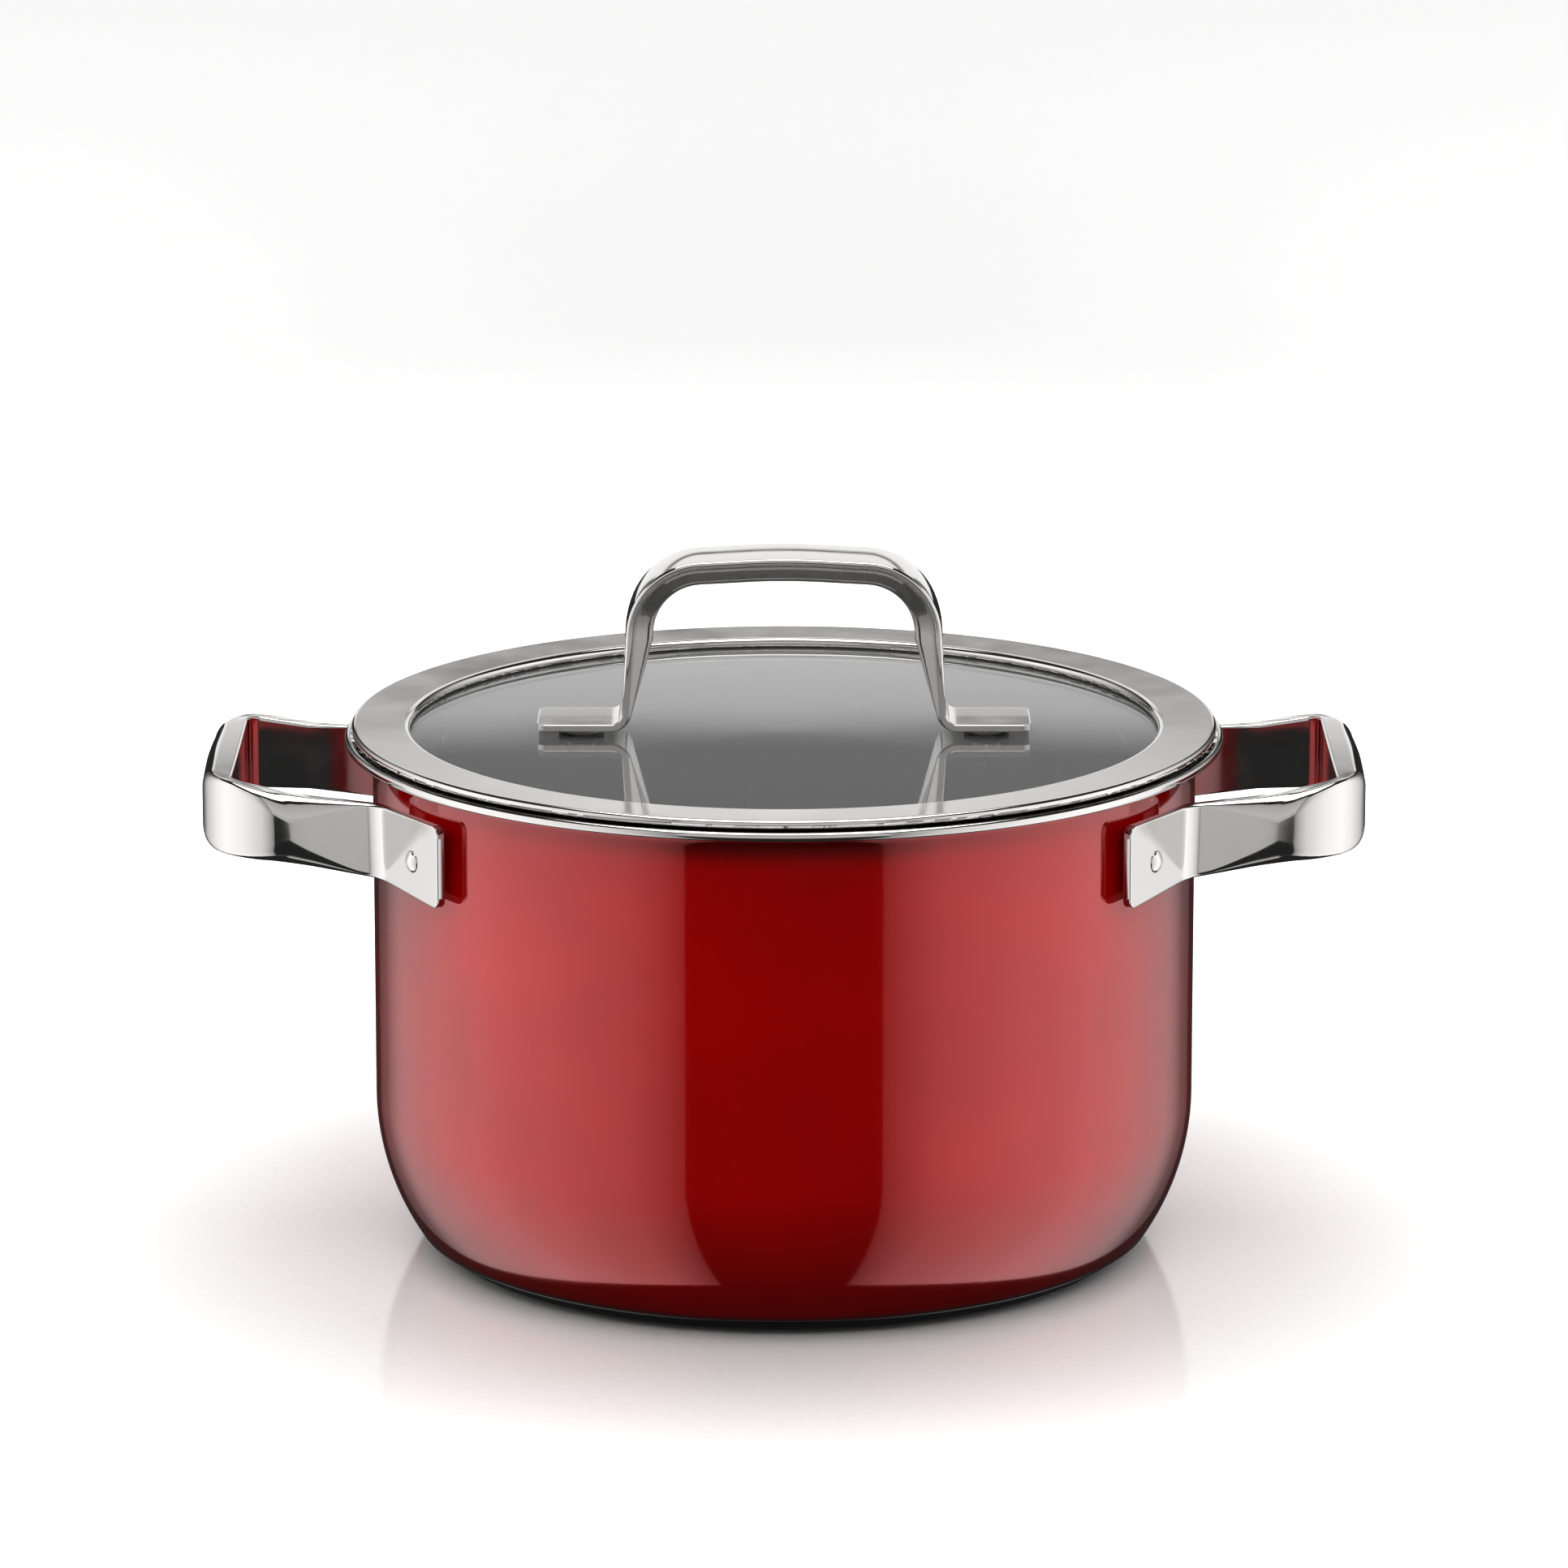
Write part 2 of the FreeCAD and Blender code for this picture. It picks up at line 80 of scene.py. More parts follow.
class PotSizes(bpy.types.PropertyGroup):
    """Enamelled shell, its base and the steel band round its pouring rim"""
    wall_r: length("Wall radius", "Outside of the straight wall", 122 * MM)
    sheet: length("Sheet", "Thickness of the drawn shell", 1.2 * MM)
    corner_r: length("Corner", "Curve between the wall and the base", 73 * MM)
    corner_in: length("Corner run", "How far that curve comes in at the base", 12.3 * MM)
    base_h: length("Base height", "Height of the black base", highest("base_plate", 2))
    base_slope: length("Base slope", "How far the base's edge comes in at the floor", 7.7 * MM)
    base_edge_r: length("Base edge", "Rounding of the base's lower edge", 9 * MM)
    seam: length("Base seam", "Rounding of the base's upper edge at the seam", 0.5 * MM)
    rim_r: length("Rim radius", "Outside of the steel band", highest("rim_band", 0))
    rim_z: length("Rim height", "Top of the steel band", highest("rim_band", 2))
    flare: angle("Flare", "Lean of the pouring rim from the vertical", 62)
    flare_r: length("Flare curve", "Curve from the wall into the pouring rim", 4 * MM)
    lip_r: length("Lip curve", "Curve from the pouring rim into its lip", 2.5 * MM)
    lip_w: length("Lip width", "Flat lip under the band", 3.6 * MM)
    band_t: length("Band sheet", "Thickness of the steel band", 0.8 * MM)
    band_w: length("Band width", "Width of the band on top of the lip", 5.6 * MM)
    band_under: length("Band return", "Width of the band under the lip", 2 * MM)
    band_bend_r: length("Band bend", "Outside bend of the band", 1.15 * MM)


class LidSizes(bpy.types.PropertyGroup):
    """Steel ring, glass and the soft and hidden rings between them"""
    edge_r: length("Lid radius", "Outside of the lid ring", highest("lid_ring", 0))
    top_z: length("Lid height", "Top face of the lid ring", highest("lid_ring", 2))
    ring_w: length("Ring width", "Top face of the lid ring, bends included", 17.1 * MM)
    ring_t: length("Ring sheet", "Thickness of the lid ring", 0.9 * MM)
    ring_depth: length("Ring depth", "Height of the ring's outer edge", 2.3 * MM)
    ring_lip_r: length("Ring inner bend", "Bend of the ring down to the glass", 1.6 * MM)
    ring_bend_r: length("Ring bend", "Outside bend of the lid ring", 1.15 * MM)
    ring_dish: angle("Ring dish", "Slope of the ring's face towards the glass", 1.5)
    glass_r: length("Glass radius", "Edge of the glass, inside its gasket", highest("lid_glass", 0))
    glass_low: length("Glass underside", "Height of the underside of the glass",
                      lowest("lid_glass", 2))
    glass_top: length("Glass top", "Height of the upper face of the glass", highest("lid_glass", 2))
    glass_edge_r: length("Glass edge", "Ground edge of the glass", 0.8 * MM)
    gasket_lip: length("Gasket lip", "Gasket on top of the glass", 0.3 * MM)
    gasket_foot: length("Gasket foot", "Gasket under the glass", 0.6 * MM)
    gasket_t: length("Gasket wall", "Gasket round the edge of the glass", 0.8 * MM)
    retainer_t: length("Retainer sheet", "Sheet of the ring under the glass", 0.8 * MM)
    retainer_bend_r: length("Retainer bend", "Bend of the ring under the glass", 1.2 * MM)
    seal_lip_t: length("Seal lip", "Thickness of the seal's lip in the mouth", 1.2 * MM)
    seal_lip_h: length("Seal lip depth", "How far that lip hangs below the rim", 4 * MM)
    seal_round: length("Seal rounding", "Rounded edges of the seal", 0.4 * MM)
    gap: length("Running gap", "Gap between the seal and the pieces past it", 0.3 * MM)
    mouth_gap: length("Mouth gap", "Gap between the seal's lip and the mouth", 0.6 * MM)


class StrapSizes(bpy.types.PropertyGroup):
    """Strap handle on the lid"""
    top_z: length("Top", "Top of the grip", highest("lid_handle", 2))
    foot_x: length("Foot end", "End of each foot from the middle", highest("lid_handle", 0))
    foot_low: length("Foot underside", "Height of the underside of the feet",
                     lowest("lid_handle", 2))
    width: length("Width", "Width of the strap", 23.7 * MM)
    grip_t: length("Grip depth", "Depth of the strap at the grip", 8.4 * MM)
    grip_r: length("Grip corners", "Outside corners of the grip", 23 * MM)
    bow: length("Bow", "Fall of the grip from its middle to its corners", 2.2 * MM)
    bow_x: length("Bow start", "Where that fall starts from the middle", 6 * MM)
    bow_r: length("Bow curve", "Curve at the start of the fall", 200 * MM)
    leg_x: length("Leg", "Outside of a leg at its foot", 48 * MM)
    leg_lean: length("Leg lean", "How far a leg leans in by the top", 2 * MM)
    foot_t: length("Foot", "Thickness of each foot", 2.2 * MM)
    foot_bend_r: length("Foot bend", "Bend between a leg and its foot", 3.4 * MM)
    foot_corner_r: length("Foot corners", "Plan corners of each foot", 3 * MM)
    top_crown: angle("Top crown", "Slope of the grip's top at its edges", 4)
    edge_t: length("Edge", "Straight edge of the strap beside its crown", 2.6 * MM)
    crown_in: length("Crown inset", "Crown in from each edge at the grip", 5 * MM)
    crown_start: length("Crown start", "Crown left at the foot", 0.3 * MM)


class HandleSizes(bpy.types.PropertyGroup):
    """Two solid handles at the sides, drawn on the right"""
    out_x: length("Reach", "Outside of the grip from the pot's axis",
                  highest("side_handle_right", 0))
    half_y: length("Half width", "Outside of each arm from the middle", 51.3 * MM)
    end_t: length("Grip", "Thickness of the grip", 9.6 * MM)
    arm_t: length("Arm", "Thickness of an arm at the grip", 10.6 * MM)
    neck_t: length("Neck", "Thickness of an arm at its flange", 3.6 * MM)
    outer_r: length("Outer corner", "Outside corners of the grip in plan", 27 * MM)
    inner_r: length("Inner corner", "Inside corners of the grip in plan", 4 * MM)
    flange_t: length("Flange", "Thickness of a flange", 2.6 * MM)
    flange_turn: angle("Flange direction", "Direction of a rivet from the X axis", 32)
    flange_gap: length("Flange gap", "Gap from a flange to the wall at its rivet", 2.4 * MM)
    flange_end: length("Flange end", "Rivet to the flange's free end", 15 * MM)
    flange_bend_r: length("Flange bend", "Bend between a flange and its arm", 7 * MM)
    flange_corner_r: length("Flange corners", "Free corners of a flange", 3 * MM)
    edge_r: length("Edges", "Rounding of a flange's edges", 0.5 * MM)
    outer_share: FloatProperty(name="Outer edges", description="Added rounding as a share of thickness",
                               default=0.42, subtype="FACTOR", min=0.0, max=0.6)
    inner_share: FloatProperty(name="Inner edges", description="Added rounding as a share of thickness",
                               default=0.06, subtype="FACTOR", min=0.0, max=0.3)
    lean: angle("Lean", "Lean of the arms' outer faces from the upright", 3)
    rivet_z: length("Rivet height", "Height of the rivets", 131.2 * MM)


class Finishes(bpy.types.PropertyGroup):
    """Colours as sRGB hex values"""
    red: StringProperty(name="Red enamel", description="Shell outside", default="#D20000")
    red_deep: StringProperty(name="Red enamel, thick", description="Where the enamel lies thicker",
                             default="#C00000")
    black: StringProperty(name="Black enamel", description="Base", default="#0B0A0A")
    lining: StringProperty(name="Lining enamel", description="Inside of the shell", default="#5A5A58")
    steel: StringProperty(name="Steel", description="Stainless steel", default="#CFCDCB")
    smoke: StringProperty(name="Smoked glass", description="Tint through the lid", default="#C4C4C4")
    silicone: StringProperty(name="Silicone", description="Seals and washers", default="#0D0D0E")


class StageSetup(bpy.types.PropertyGroup):
    """Camera, lights and floor"""
    distance: length("Camera distance", "Camera in front of the pot's axis", 2.344)
    height: length("Camera height", "Camera above the floor", 0.703)
    tilt: angle("Camera tilt", "How far the camera looks down", 13.55)
    lens: FloatProperty(name="Focal length", description="On a 36 mm sensor",
                        default=186.34, unit="CAMERA")
    top_power: FloatProperty(name="Top light", description="Power of the overhead softbox",
                             default=46.0, unit="POWER")
    side_glow: FloatProperty(name="Side softboxes", description="Radiance of the two side softboxes",
                             default=1.62, min=0.0)
    front_light: FloatProperty(name="Front light", description="Radiance of the high front light",
                               default=4.3, min=0.0)
    side_light: FloatProperty(name="Side light", description="Radiance the two sides give the pot",
                              default=2.4, min=0.0)
    back_glow: FloatProperty(name="Back card", description="Radiance of the card behind the pot",
                             default=1.3, min=0.0)
    front_glow: FloatProperty(name="Front fill", description="Radiance of the card over the camera",
                              default=0.75, min=0.0)
    segments: IntProperty(name="Segments", description="Segments of a turned piece",
                          default=480, min=16, max=512)


# ---- outlines ----------------------------------------------------------------------------
def run_through(corners, closed=False, steps=8, splits=0, hold=0.15 * MM, near=0.0):
    """Places (point, direction) through (a, b, radius) corners, each corner an arc.
    Straight runs get a point near both ends, or are split evenly; near adds the share of the
    length that keeps a split run's flat face shading flat."""
    points = [Vector(c[:2]) for c in corners]
    count = len(points)
    arcs = []
    for i, (_, _, radius) in enumerate(corners):
        here = points[i]
        back, ahead = points[i - 1] - here, points[(i + 1) % count] - here
        if not closed and i == 0:
            arcs.append([(here, ahead.normalized())])
            continue
        if not closed and i == count - 1:
            arcs.append([(here, -back.normalized())])
            continue
        back.normalize()
        ahead.normalize()
        if radius == 0:
            arcs.append([(here, (ahead - back).normalized())])
            continue
        half = back.angle(ahead) / 2
        middle = here + (back + ahead).normalized() * (radius / math.sin(half))
        turn = math.pi - 2 * half
        if back.x * ahead.y - back.y * ahead.x > 0:
            turn = -turn
        start = here + back * (radius / math.tan(half)) - middle
        arcs.append([(middle + Matrix.Rotation(turn * k / steps, 2) @ start,
                      Matrix.Rotation(turn * k / steps, 2) @ -back) for k in range(steps + 1)])
    line = []
    for i, arc in enumerate(arcs):
        line += arc
        if not closed and i == count - 1:
            break
        end, start = arc[-1][0], arcs[(i + 1) % count][0][0]
        gap = start - end
        way = gap.normalized()
        if splits:
            shares = ([near] if near else []) + [k / splits for k in range(1, splits)]
            shares += [1 - near] if near else []
            line += [(end + gap * share, way) for share in shares]
        elif gap.length > 4 * hold:
            line += [(end + way * hold, way), (start - way * hold, way)]
    kept = [line[0]]
    for place in line[1:]:
        if splits or (place[0] - kept[-1][0]).length > 1e-7:
            kept.append(place)
    return kept


def outline(corners, steps=8):
    """Points of a closed, rounded outline."""
    return [point for point, _ in run_through(corners, closed=True, steps=steps)]


def aside(place, distance):
    """The point at a distance to the left of a place on a line."""
    point, way = place
    return point + Vector((-way.y, way.x)) * distance


def bead(end, way, thickness, steps=6):
    """Half-round edge of a sheet, from its drawn face round to its other face."""
    side = Vector((-way.y, way.x)) * (thickness / 2)
    middle = end + side - way * abs(thickness) / 2
    return [middle - side * math.cos(math.pi * k / steps) + way * abs(thickness) / 2
            * math.sin(math.pi * k / steps) for k in range(steps + 1)]


def sheet_outline(line, thickness, rounded=True):
    """Closed outline of a sheet whose drawn face follows a line, with rounded or square ends."""
    face = [point for point, _ in line]
    other = [aside(place, thickness) for place in line]
    if rounded:
        start = bead(line[0][0], -line[0][1], -thickness)
        end = bead(line[-1][0], line[-1][1], thickness)
        face, other = start[::-1] + face[1:-1] + end, other[1:-1]
    return face + other[::-1]


def eased(radius, steps):
    """Distances from an end that draw a corner of this radius evenly."""
    return [radius * (1 - math.cos(math.pi / 2 * k / steps)) for k in range(steps + 1)]


def cut_in(radius, distance):
    """How far a rounded corner lies in from its side, at this distance from the end."""
    if distance >= radius:
        return 0.0
    return radius - math.sqrt(max(radius * radius - (radius - distance) ** 2, 0.0))


def clamped(share):
    return min(max(share, 0.0), 1.0)


def signed_area(points):
    following = points[1:] + points[:1]
    return sum(a.x * b.y - b.x * a.y for a, b in zip(points, following)) / 2


# ---- meshes ------------------------------------------------------------------------------
def profile_mesh(name, points, closed=True, lining_from=None):
    """A half outline in the XZ plane, X being the radius, for the turning tree.
    Points from lining_from onwards carry the lining mark."""
    marks = [0.0 if lining_from is None or i < lining_from else 1.0 for i in range(len(points))]
    if signed_area(points) < 0:
        points, marks = points[::-1], marks[::-1]
    if closed:
        points, marks = points + points[:1], marks + marks[:1]
    mesh = bpy.data.meshes.new(name)
    mesh.from_pydata([(p.x, 0.0, p.y) for p in points], [], [])
    mark = mesh.attributes.new("lining", "FLOAT", "POINT")
    mark.data.foreach_set("value", marks)
    return mesh


def lofted(name, rings):
    """A closed skin through equal rings of points."""
    mesh = bpy.data.meshes.new(name)
    work = bmesh.new()
    rows = [[work.verts.new(p) for p in ring] for ring in rings]
    size = len(rings[0])
    for low, high in zip(rows, rows[1:]):
        for k in range(size):
            work.faces.new((low[k], low[(k + 1) % size], high[(k + 1) % size], high[k]))
    work.faces.new(rows[0])
    work.faces.new(rows[-1])
    bmesh.ops.remove_doubles(work, verts=work.verts, dist=1e-7)
    bmesh.ops.recalc_face_normals(work, faces=work.faces)
    for face in work.faces:
        face.smooth = True
    work.to_mesh(mesh)
    work.free()
    return mesh


def add(tree, kind, settings):
    """Add a node; a setting is an attribute, an input's value by name or place, or a link to it."""
    node = tree.nodes.new(kind)
    stops = settings.pop("stops", None)
    for key, value in settings.items():
        if isinstance(key, str) and key in node.bl_rna.properties:
            setattr(node, key, value)
    for key, value in settings.items():
        if isinstance(key, str) and key in node.bl_rna.properties:
            continue
        if isinstance(value, bpy.types.NodeSocket):
            tree.links.new(value, node.inputs[key])
        else:
            node.inputs[key].default_value = value
    if stops:
        marks = node.color_ramp.elements
        while len(marks) < len(stops):
            marks.new(0.5)
        for mark, (at, colour) in zip(marks, stops):
            mark.position = at
            mark.color = colour
    return node


def new_tree(name, inputs):
    """An empty geometry tree with named inputs; returns the tree and its input node."""
    tree = bpy.data.node_groups.new(name, "GeometryNodeTree")
    tree.interface.new_socket("Geometry", in_out="INPUT", socket_type="NodeSocketGeometry")
    for label, kind in inputs:
        tree.interface.new_socket(label, in_out="INPUT", socket_type="NodeSocket" + kind)
    tree.interface.new_socket("Geometry", in_out="OUTPUT", socket_type="NodeSocketGeometry")
    return tree, tree.nodes.new("NodeGroupInput").outputs


def turning_tree():
    """Turns a half outline round the Z axis: a grid's rows become the outline at each angle."""
    name = "Turned piece"
    if name in bpy.data.node_groups:
        return bpy.data.node_groups[name]
    tree, given = new_tree(name, [("Segments", "Int"), ("Outside", "Material"), ("Lining", "Material")])
    size = add(tree, "GeometryNodeAttributeDomainSize", {"component": "MESH", 0: given["Geometry"]})
    columns = add(tree, "ShaderNodeMath", {"operation": "ADD", 0: given["Segments"], 1: 1.0})
    grid = add(tree, "GeometryNodeMeshGrid", {"Vertices X": columns.outputs[0],
                                             "Vertices Y": size.outputs["Point Count"]})
    index = add(tree, "GeometryNodeInputIndex", {})
    share = add(tree, "ShaderNodeMath", {"operation": "DIVIDE", 0: index.outputs[0],
                                         1: size.outputs["Point Count"]})
    column = add(tree, "ShaderNodeMath", {"operation": "FLOOR", 0: share.outputs[0]})
    before = add(tree, "ShaderNodeMath", {"operation": "MULTIPLY", 0: column.outputs[0],
                                          1: size.outputs["Point Count"]})
    row = add(tree, "ShaderNodeMath", {"operation": "SUBTRACT", 0: index.outputs[0],
                                       1: before.outputs[0]})
    step = add(tree, "ShaderNodeMath", {"operation": "DIVIDE", 0: 2 * math.pi, 1: given["Segments"]})
    angle = add(tree, "ShaderNodeMath", {"operation": "MULTIPLY", 0: column.outputs[0],
                                         1: step.outputs[0]})
    place = add(tree, "GeometryNodeInputPosition", {})
    drawn = add(tree, "GeometryNodeSampleIndex", {"data_type": "FLOAT_VECTOR", "domain": "POINT",
                                                  "Geometry": given["Geometry"],
                                                  "Value": place.outputs[0], "Index": row.outputs[0]})
    parts = add(tree, "ShaderNodeSeparateXYZ", {0: drawn.outputs[0]})
    cosine = add(tree, "ShaderNodeMath", {"operation": "COSINE", 0: angle.outputs[0]})
    sine = add(tree, "ShaderNodeMath", {"operation": "SINE", 0: angle.outputs[0]})
    x = add(tree, "ShaderNodeMath", {"operation": "MULTIPLY", 0: parts.outputs["X"],
                                     1: cosine.outputs[0]})
    y = add(tree, "ShaderNodeMath", {"operation": "MULTIPLY", 0: parts.outputs["X"],
                                     1: sine.outputs[0]})
    there = add(tree, "ShaderNodeCombineXYZ", {"X": x.outputs[0], "Y": y.outputs[0],
                                              "Z": parts.outputs["Z"]})
    mark = add(tree, "GeometryNodeInputNamedAttribute", {"data_type": "FLOAT", "Name": "lining"})
    drawn_mark = add(tree, "GeometryNodeSampleIndex", {"data_type": "FLOAT", "domain": "POINT",
                                                       "Geometry": given["Geometry"],
                                                       "Value": mark.outputs[0],
                                                       "Index": row.outputs[0]})
    kept_mark = add(tree, "GeometryNodeCaptureAttribute", {"Geometry": grid.outputs["Mesh"]})
    kept_mark.capture_items.new("FLOAT", "Lining")
    tree.links.new(drawn_mark.outputs[0], kept_mark.inputs["Lining"])
    bent = add(tree, "GeometryNodeSetPosition", {"Geometry": kept_mark.outputs["Geometry"],
                                                "Position": there.outputs[0]})
    merged = add(tree, "GeometryNodeMergeByDistance", {"Geometry": bent.outputs[0], "Distance": 1e-6})
    smooth = add(tree, "GeometryNodeSetShadeSmooth", {"Geometry": merged.outputs[0]})
    real = add(tree, "GeometryNodeRealizeInstances", {"Geometry": smooth.outputs[0]})
    outside = add(tree, "GeometryNodeSetMaterial", {"Geometry": real.outputs[0],
                                                   "Material": given["Outside"]})
    is_lining = add(tree, "ShaderNodeMath", {"operation": "GREATER_THAN",
                                             0: kept_mark.outputs["Lining"], 1: 0.5})
    inside = add(tree, "GeometryNodeSetMaterial", {"Geometry": outside.outputs[0],
                                                  "Selection": is_lining.outputs[0],
                                                  "Material": given["Lining"]})
    add(tree, "NodeGroupOutput", {"Geometry": inside.outputs[0]})
    return tree


def fastening_tree():
    """Puts one fastener at every point, turned by the point's own angle."""
    name = "Fasteners at points"
    if name in bpy.data.node_groups:
        return bpy.data.node_groups[name]
    tree, given = new_tree(name, [("Fastener", "Object"), ("Finish", "Material")])
    turn = add(tree, "GeometryNodeInputNamedAttribute", {"data_type": "FLOAT_VECTOR", "Name": "turn"})
    angles = add(tree, "FunctionNodeEulerToRotation", {0: turn.outputs[0]})
    one = add(tree, "GeometryNodeObjectInfo", {"Object": given["Fastener"]})
    copies = add(tree, "GeometryNodeInstanceOnPoints", {"Points": given["Geometry"],
                                                       "Instance": one.outputs["Geometry"],
                                                       "Rotation": angles.outputs[0]})
    real = add(tree, "GeometryNodeRealizeInstances", {"Geometry": copies.outputs[0]})
    finish = add(tree, "GeometryNodeSetMaterial", {"Geometry": real.outputs[0],
                                                  "Material": given["Finish"]})
    add(tree, "NodeGroupOutput", {"Geometry": finish.outputs[0]})
    return tree


def grown(start, tree, values):
    """The plain mesh that a tree makes from a starting mesh."""
    seed = bpy.data.objects.new(start.name, start)
    bpy.context.scene.collection.objects.link(seed)
    step = seed.modifiers.new("Grow", "NODES")
    step.node_group = tree
    for item in tree.interface.items_tree:
        if item.in_out == "INPUT" and item.name in values:
            step[item.identifier] = values[item.name]
    graph = bpy.context.evaluated_depsgraph_get()
    mesh = bpy.data.meshes.new_from_object(seed.evaluated_get(graph), depsgraph=graph)
    seed.modifiers.remove(step)
    bpy.data.objects.remove(seed)
    bpy.data.meshes.remove(start)
    return mesh


def turned(name, points, outside, closed=True, lining=None, lining_from=None, segments=None):
    """A mesh turned round the Z axis from a half outline."""
    values = {"Segments": segments or bpy.context.scene.pot_stage.segments,
              "Outside": outside, "Lining": lining or outside}
    return grown(profile_mesh(name, points, closed, lining_from), turning_tree(), values)


def fastened(name, mesh, places, finish):
    """One mesh of a fastener repeated at (point, turn) places."""
    points = bpy.data.meshes.new(name)
    points.from_pydata([place for place, _ in places], [], [])
    turn = points.attributes.new("turn", "FLOAT_VECTOR", "POINT")
    turn.data.foreach_set("vector", [v for _, angles in places for v in angles])
    one = bpy.data.objects.new(name + "_one", mesh)
    bpy.context.scene.collection.objects.link(one)
    made = grown(points, fastening_tree(), {"Fastener": one, "Finish": finish})
    bpy.data.objects.remove(one)
    bpy.data.meshes.remove(mesh)
    return made


def settle(name, mesh, body, slot, *nodes):
    """Make a finished piece: it rides on its body and stands for its CAD nodes."""
    if name in bpy.data.objects:
        bpy.data.objects.remove(bpy.data.objects[name])
    mesh.name = name
    piece = bpy.data.objects.new(name, mesh)
    bpy.context.scene.collection.objects.link(piece)
    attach(piece, body)
    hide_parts(*nodes)
    return piece


# ---- finishes ----------------------------------------------------------------------------
def colour(code):
    """An sRGB hex value as linear RGBA."""
    channels = [int(code.lstrip("#")[k:k + 2], 16) / 255 for k in (0, 2, 4)]
    return tuple(c / 12.92 if c <= 0.04045 else ((c + 0.055) / 1.055) ** 2.4 for c in channels) + (1.0,)


def finish(name, sockets=None):
    """A material with a Principled shader whose own sockets get these values; returns material,
    tree, shader and object coordinates."""
    material = bpy.data.materials.get(name) or bpy.data.materials.new(name)
    material.use_nodes = True
    tree = material.node_tree
    tree.nodes.clear()
    shader = tree.nodes.new("ShaderNodeBsdfPrincipled")
    output = tree.nodes.new("ShaderNodeOutputMaterial")
    tree.links.new(shader.outputs[0], output.inputs[0])
    where = tree.nodes.new("ShaderNodeTexCoord").outputs["Object"]
    for socket, value in (sockets or {}).items():
        shader.inputs[socket].default_value = value
    return material, tree, shader, where


def steel(name):
    """Stainless steel before its surface is worked; returns what finish returns."""
    return finish(name, {"Base Color": colour(bpy.context.scene.pot_finishes.steel),
                         "Metallic": 1.0})


def red_enamel():
    """Vitreous enamel, sprayed and fired: deep red under a glassy skin with a faint orange peel."""
    looks = bpy.context.scene.pot_finishes
    material, tree, shader, where = finish("enamel_fired_red", {
        "Metallic": 0.25, "IOR": 1.52, "Coat Weight": 0.4, "Coat Roughness": 0.02})
    # the coat lies thicker here and there over tens of millimetres, and is a shade deeper there
    drift = add(tree, "ShaderNodeTexNoise", {"Vector": where, "Scale": 1 / (45 * MM), "Detail": 2.0})
    shade = add(tree, "ShaderNodeValToRGB", {"Fac": drift.outputs[0], "stops": [
        (0.3, colour(looks.red)), (0.75, colour(looks.red_deep))]})
    tree.links.new(shade.outputs[0], shader.inputs["Base Color"])
    # orange peel of about 3 mm with a finer 0.9 mm ripple over it
    peel = add(tree, "ShaderNodeTexNoise", {"Vector": where, "Scale": 1 / (3 * MM), "Detail": 1.0})
    ripple = add(tree, "ShaderNodeTexNoise", {"Vector": where, "Scale": 1 / (0.9 * MM), "Detail": 1.0})
    broad = add(tree, "ShaderNodeBump", {"Height": peel.outputs[0], "Distance": 0.006 * MM,
                                         "Strength": 1.0})
    fine = add(tree, "ShaderNodeBump", {"Height": ripple.outputs[0], "Distance": 0.001 * MM,
                                        "Strength": 1.0, "Normal": broad.outputs[0]})
    tree.links.new(fine.outputs[0], shader.inputs["Normal"])
    # wiped with a cloth: slightly duller streaks
    wiped = add(tree, "ShaderNodeMapping", {"Vector": where, "Scale": (1.0, 1.0, 4.0)})
    smear = add(tree, "ShaderNodeTexNoise", {"Vector": wiped.outputs[0], "Scale": 1 / (60 * MM),
                                             "Detail": 4.0})
    rough = add(tree, "ShaderNodeMapRange", {"Value": smear.outputs[0], "From Min": 0.35,
                                             "From Max": 0.75, "To Min": 0.055, "To Max": 0.1})
    tree.links.new(rough.outputs[0], shader.inputs["Roughness"])
    return material


def speckled_enamel(name, shade, fleck, rough_low, rough_high):
    """Dark ground enamel, fired: near-black glass with fine paler flecks from the fired-in grains."""
    material, tree, shader, where = finish(name, {"IOR": 1.52})
    # grains of about 0.5 mm, drawn at 1.2 mm so that they show
    grains = add(tree, "ShaderNodeTexVoronoi", {"Vector": where, "Scale": 1 / (1.2 * MM)})
    flecks = add(tree, "ShaderNodeValToRGB", {"Fac": grains.outputs["Distance"], "stops": [
        (0.12, fleck), (0.22, shade)]})
    tree.links.new(flecks.outputs[0], shader.inputs["Base Color"])
    cloud = add(tree, "ShaderNodeTexNoise", {"Vector": where, "Scale": 1 / (20 * MM), "Detail": 4.0})
    rough = add(tree, "ShaderNodeMapRange", {"Value": cloud.outputs[0], "To Min": rough_low,
                                             "To Max": rough_high})
    tree.links.new(rough.outputs[0], shader.inputs["Roughness"])
    pits = add(tree, "ShaderNodeTexNoise", {"Vector": where, "Scale": 1 / (1.5 * MM), "Detail": 2.0})
    bump = add(tree, "ShaderNodeBump", {"Height": pits.outputs[0], "Distance": 0.01 * MM,
                                        "Strength": 1.0})
    tree.links.new(bump.outputs[0], shader.inputs["Normal"])
    return material


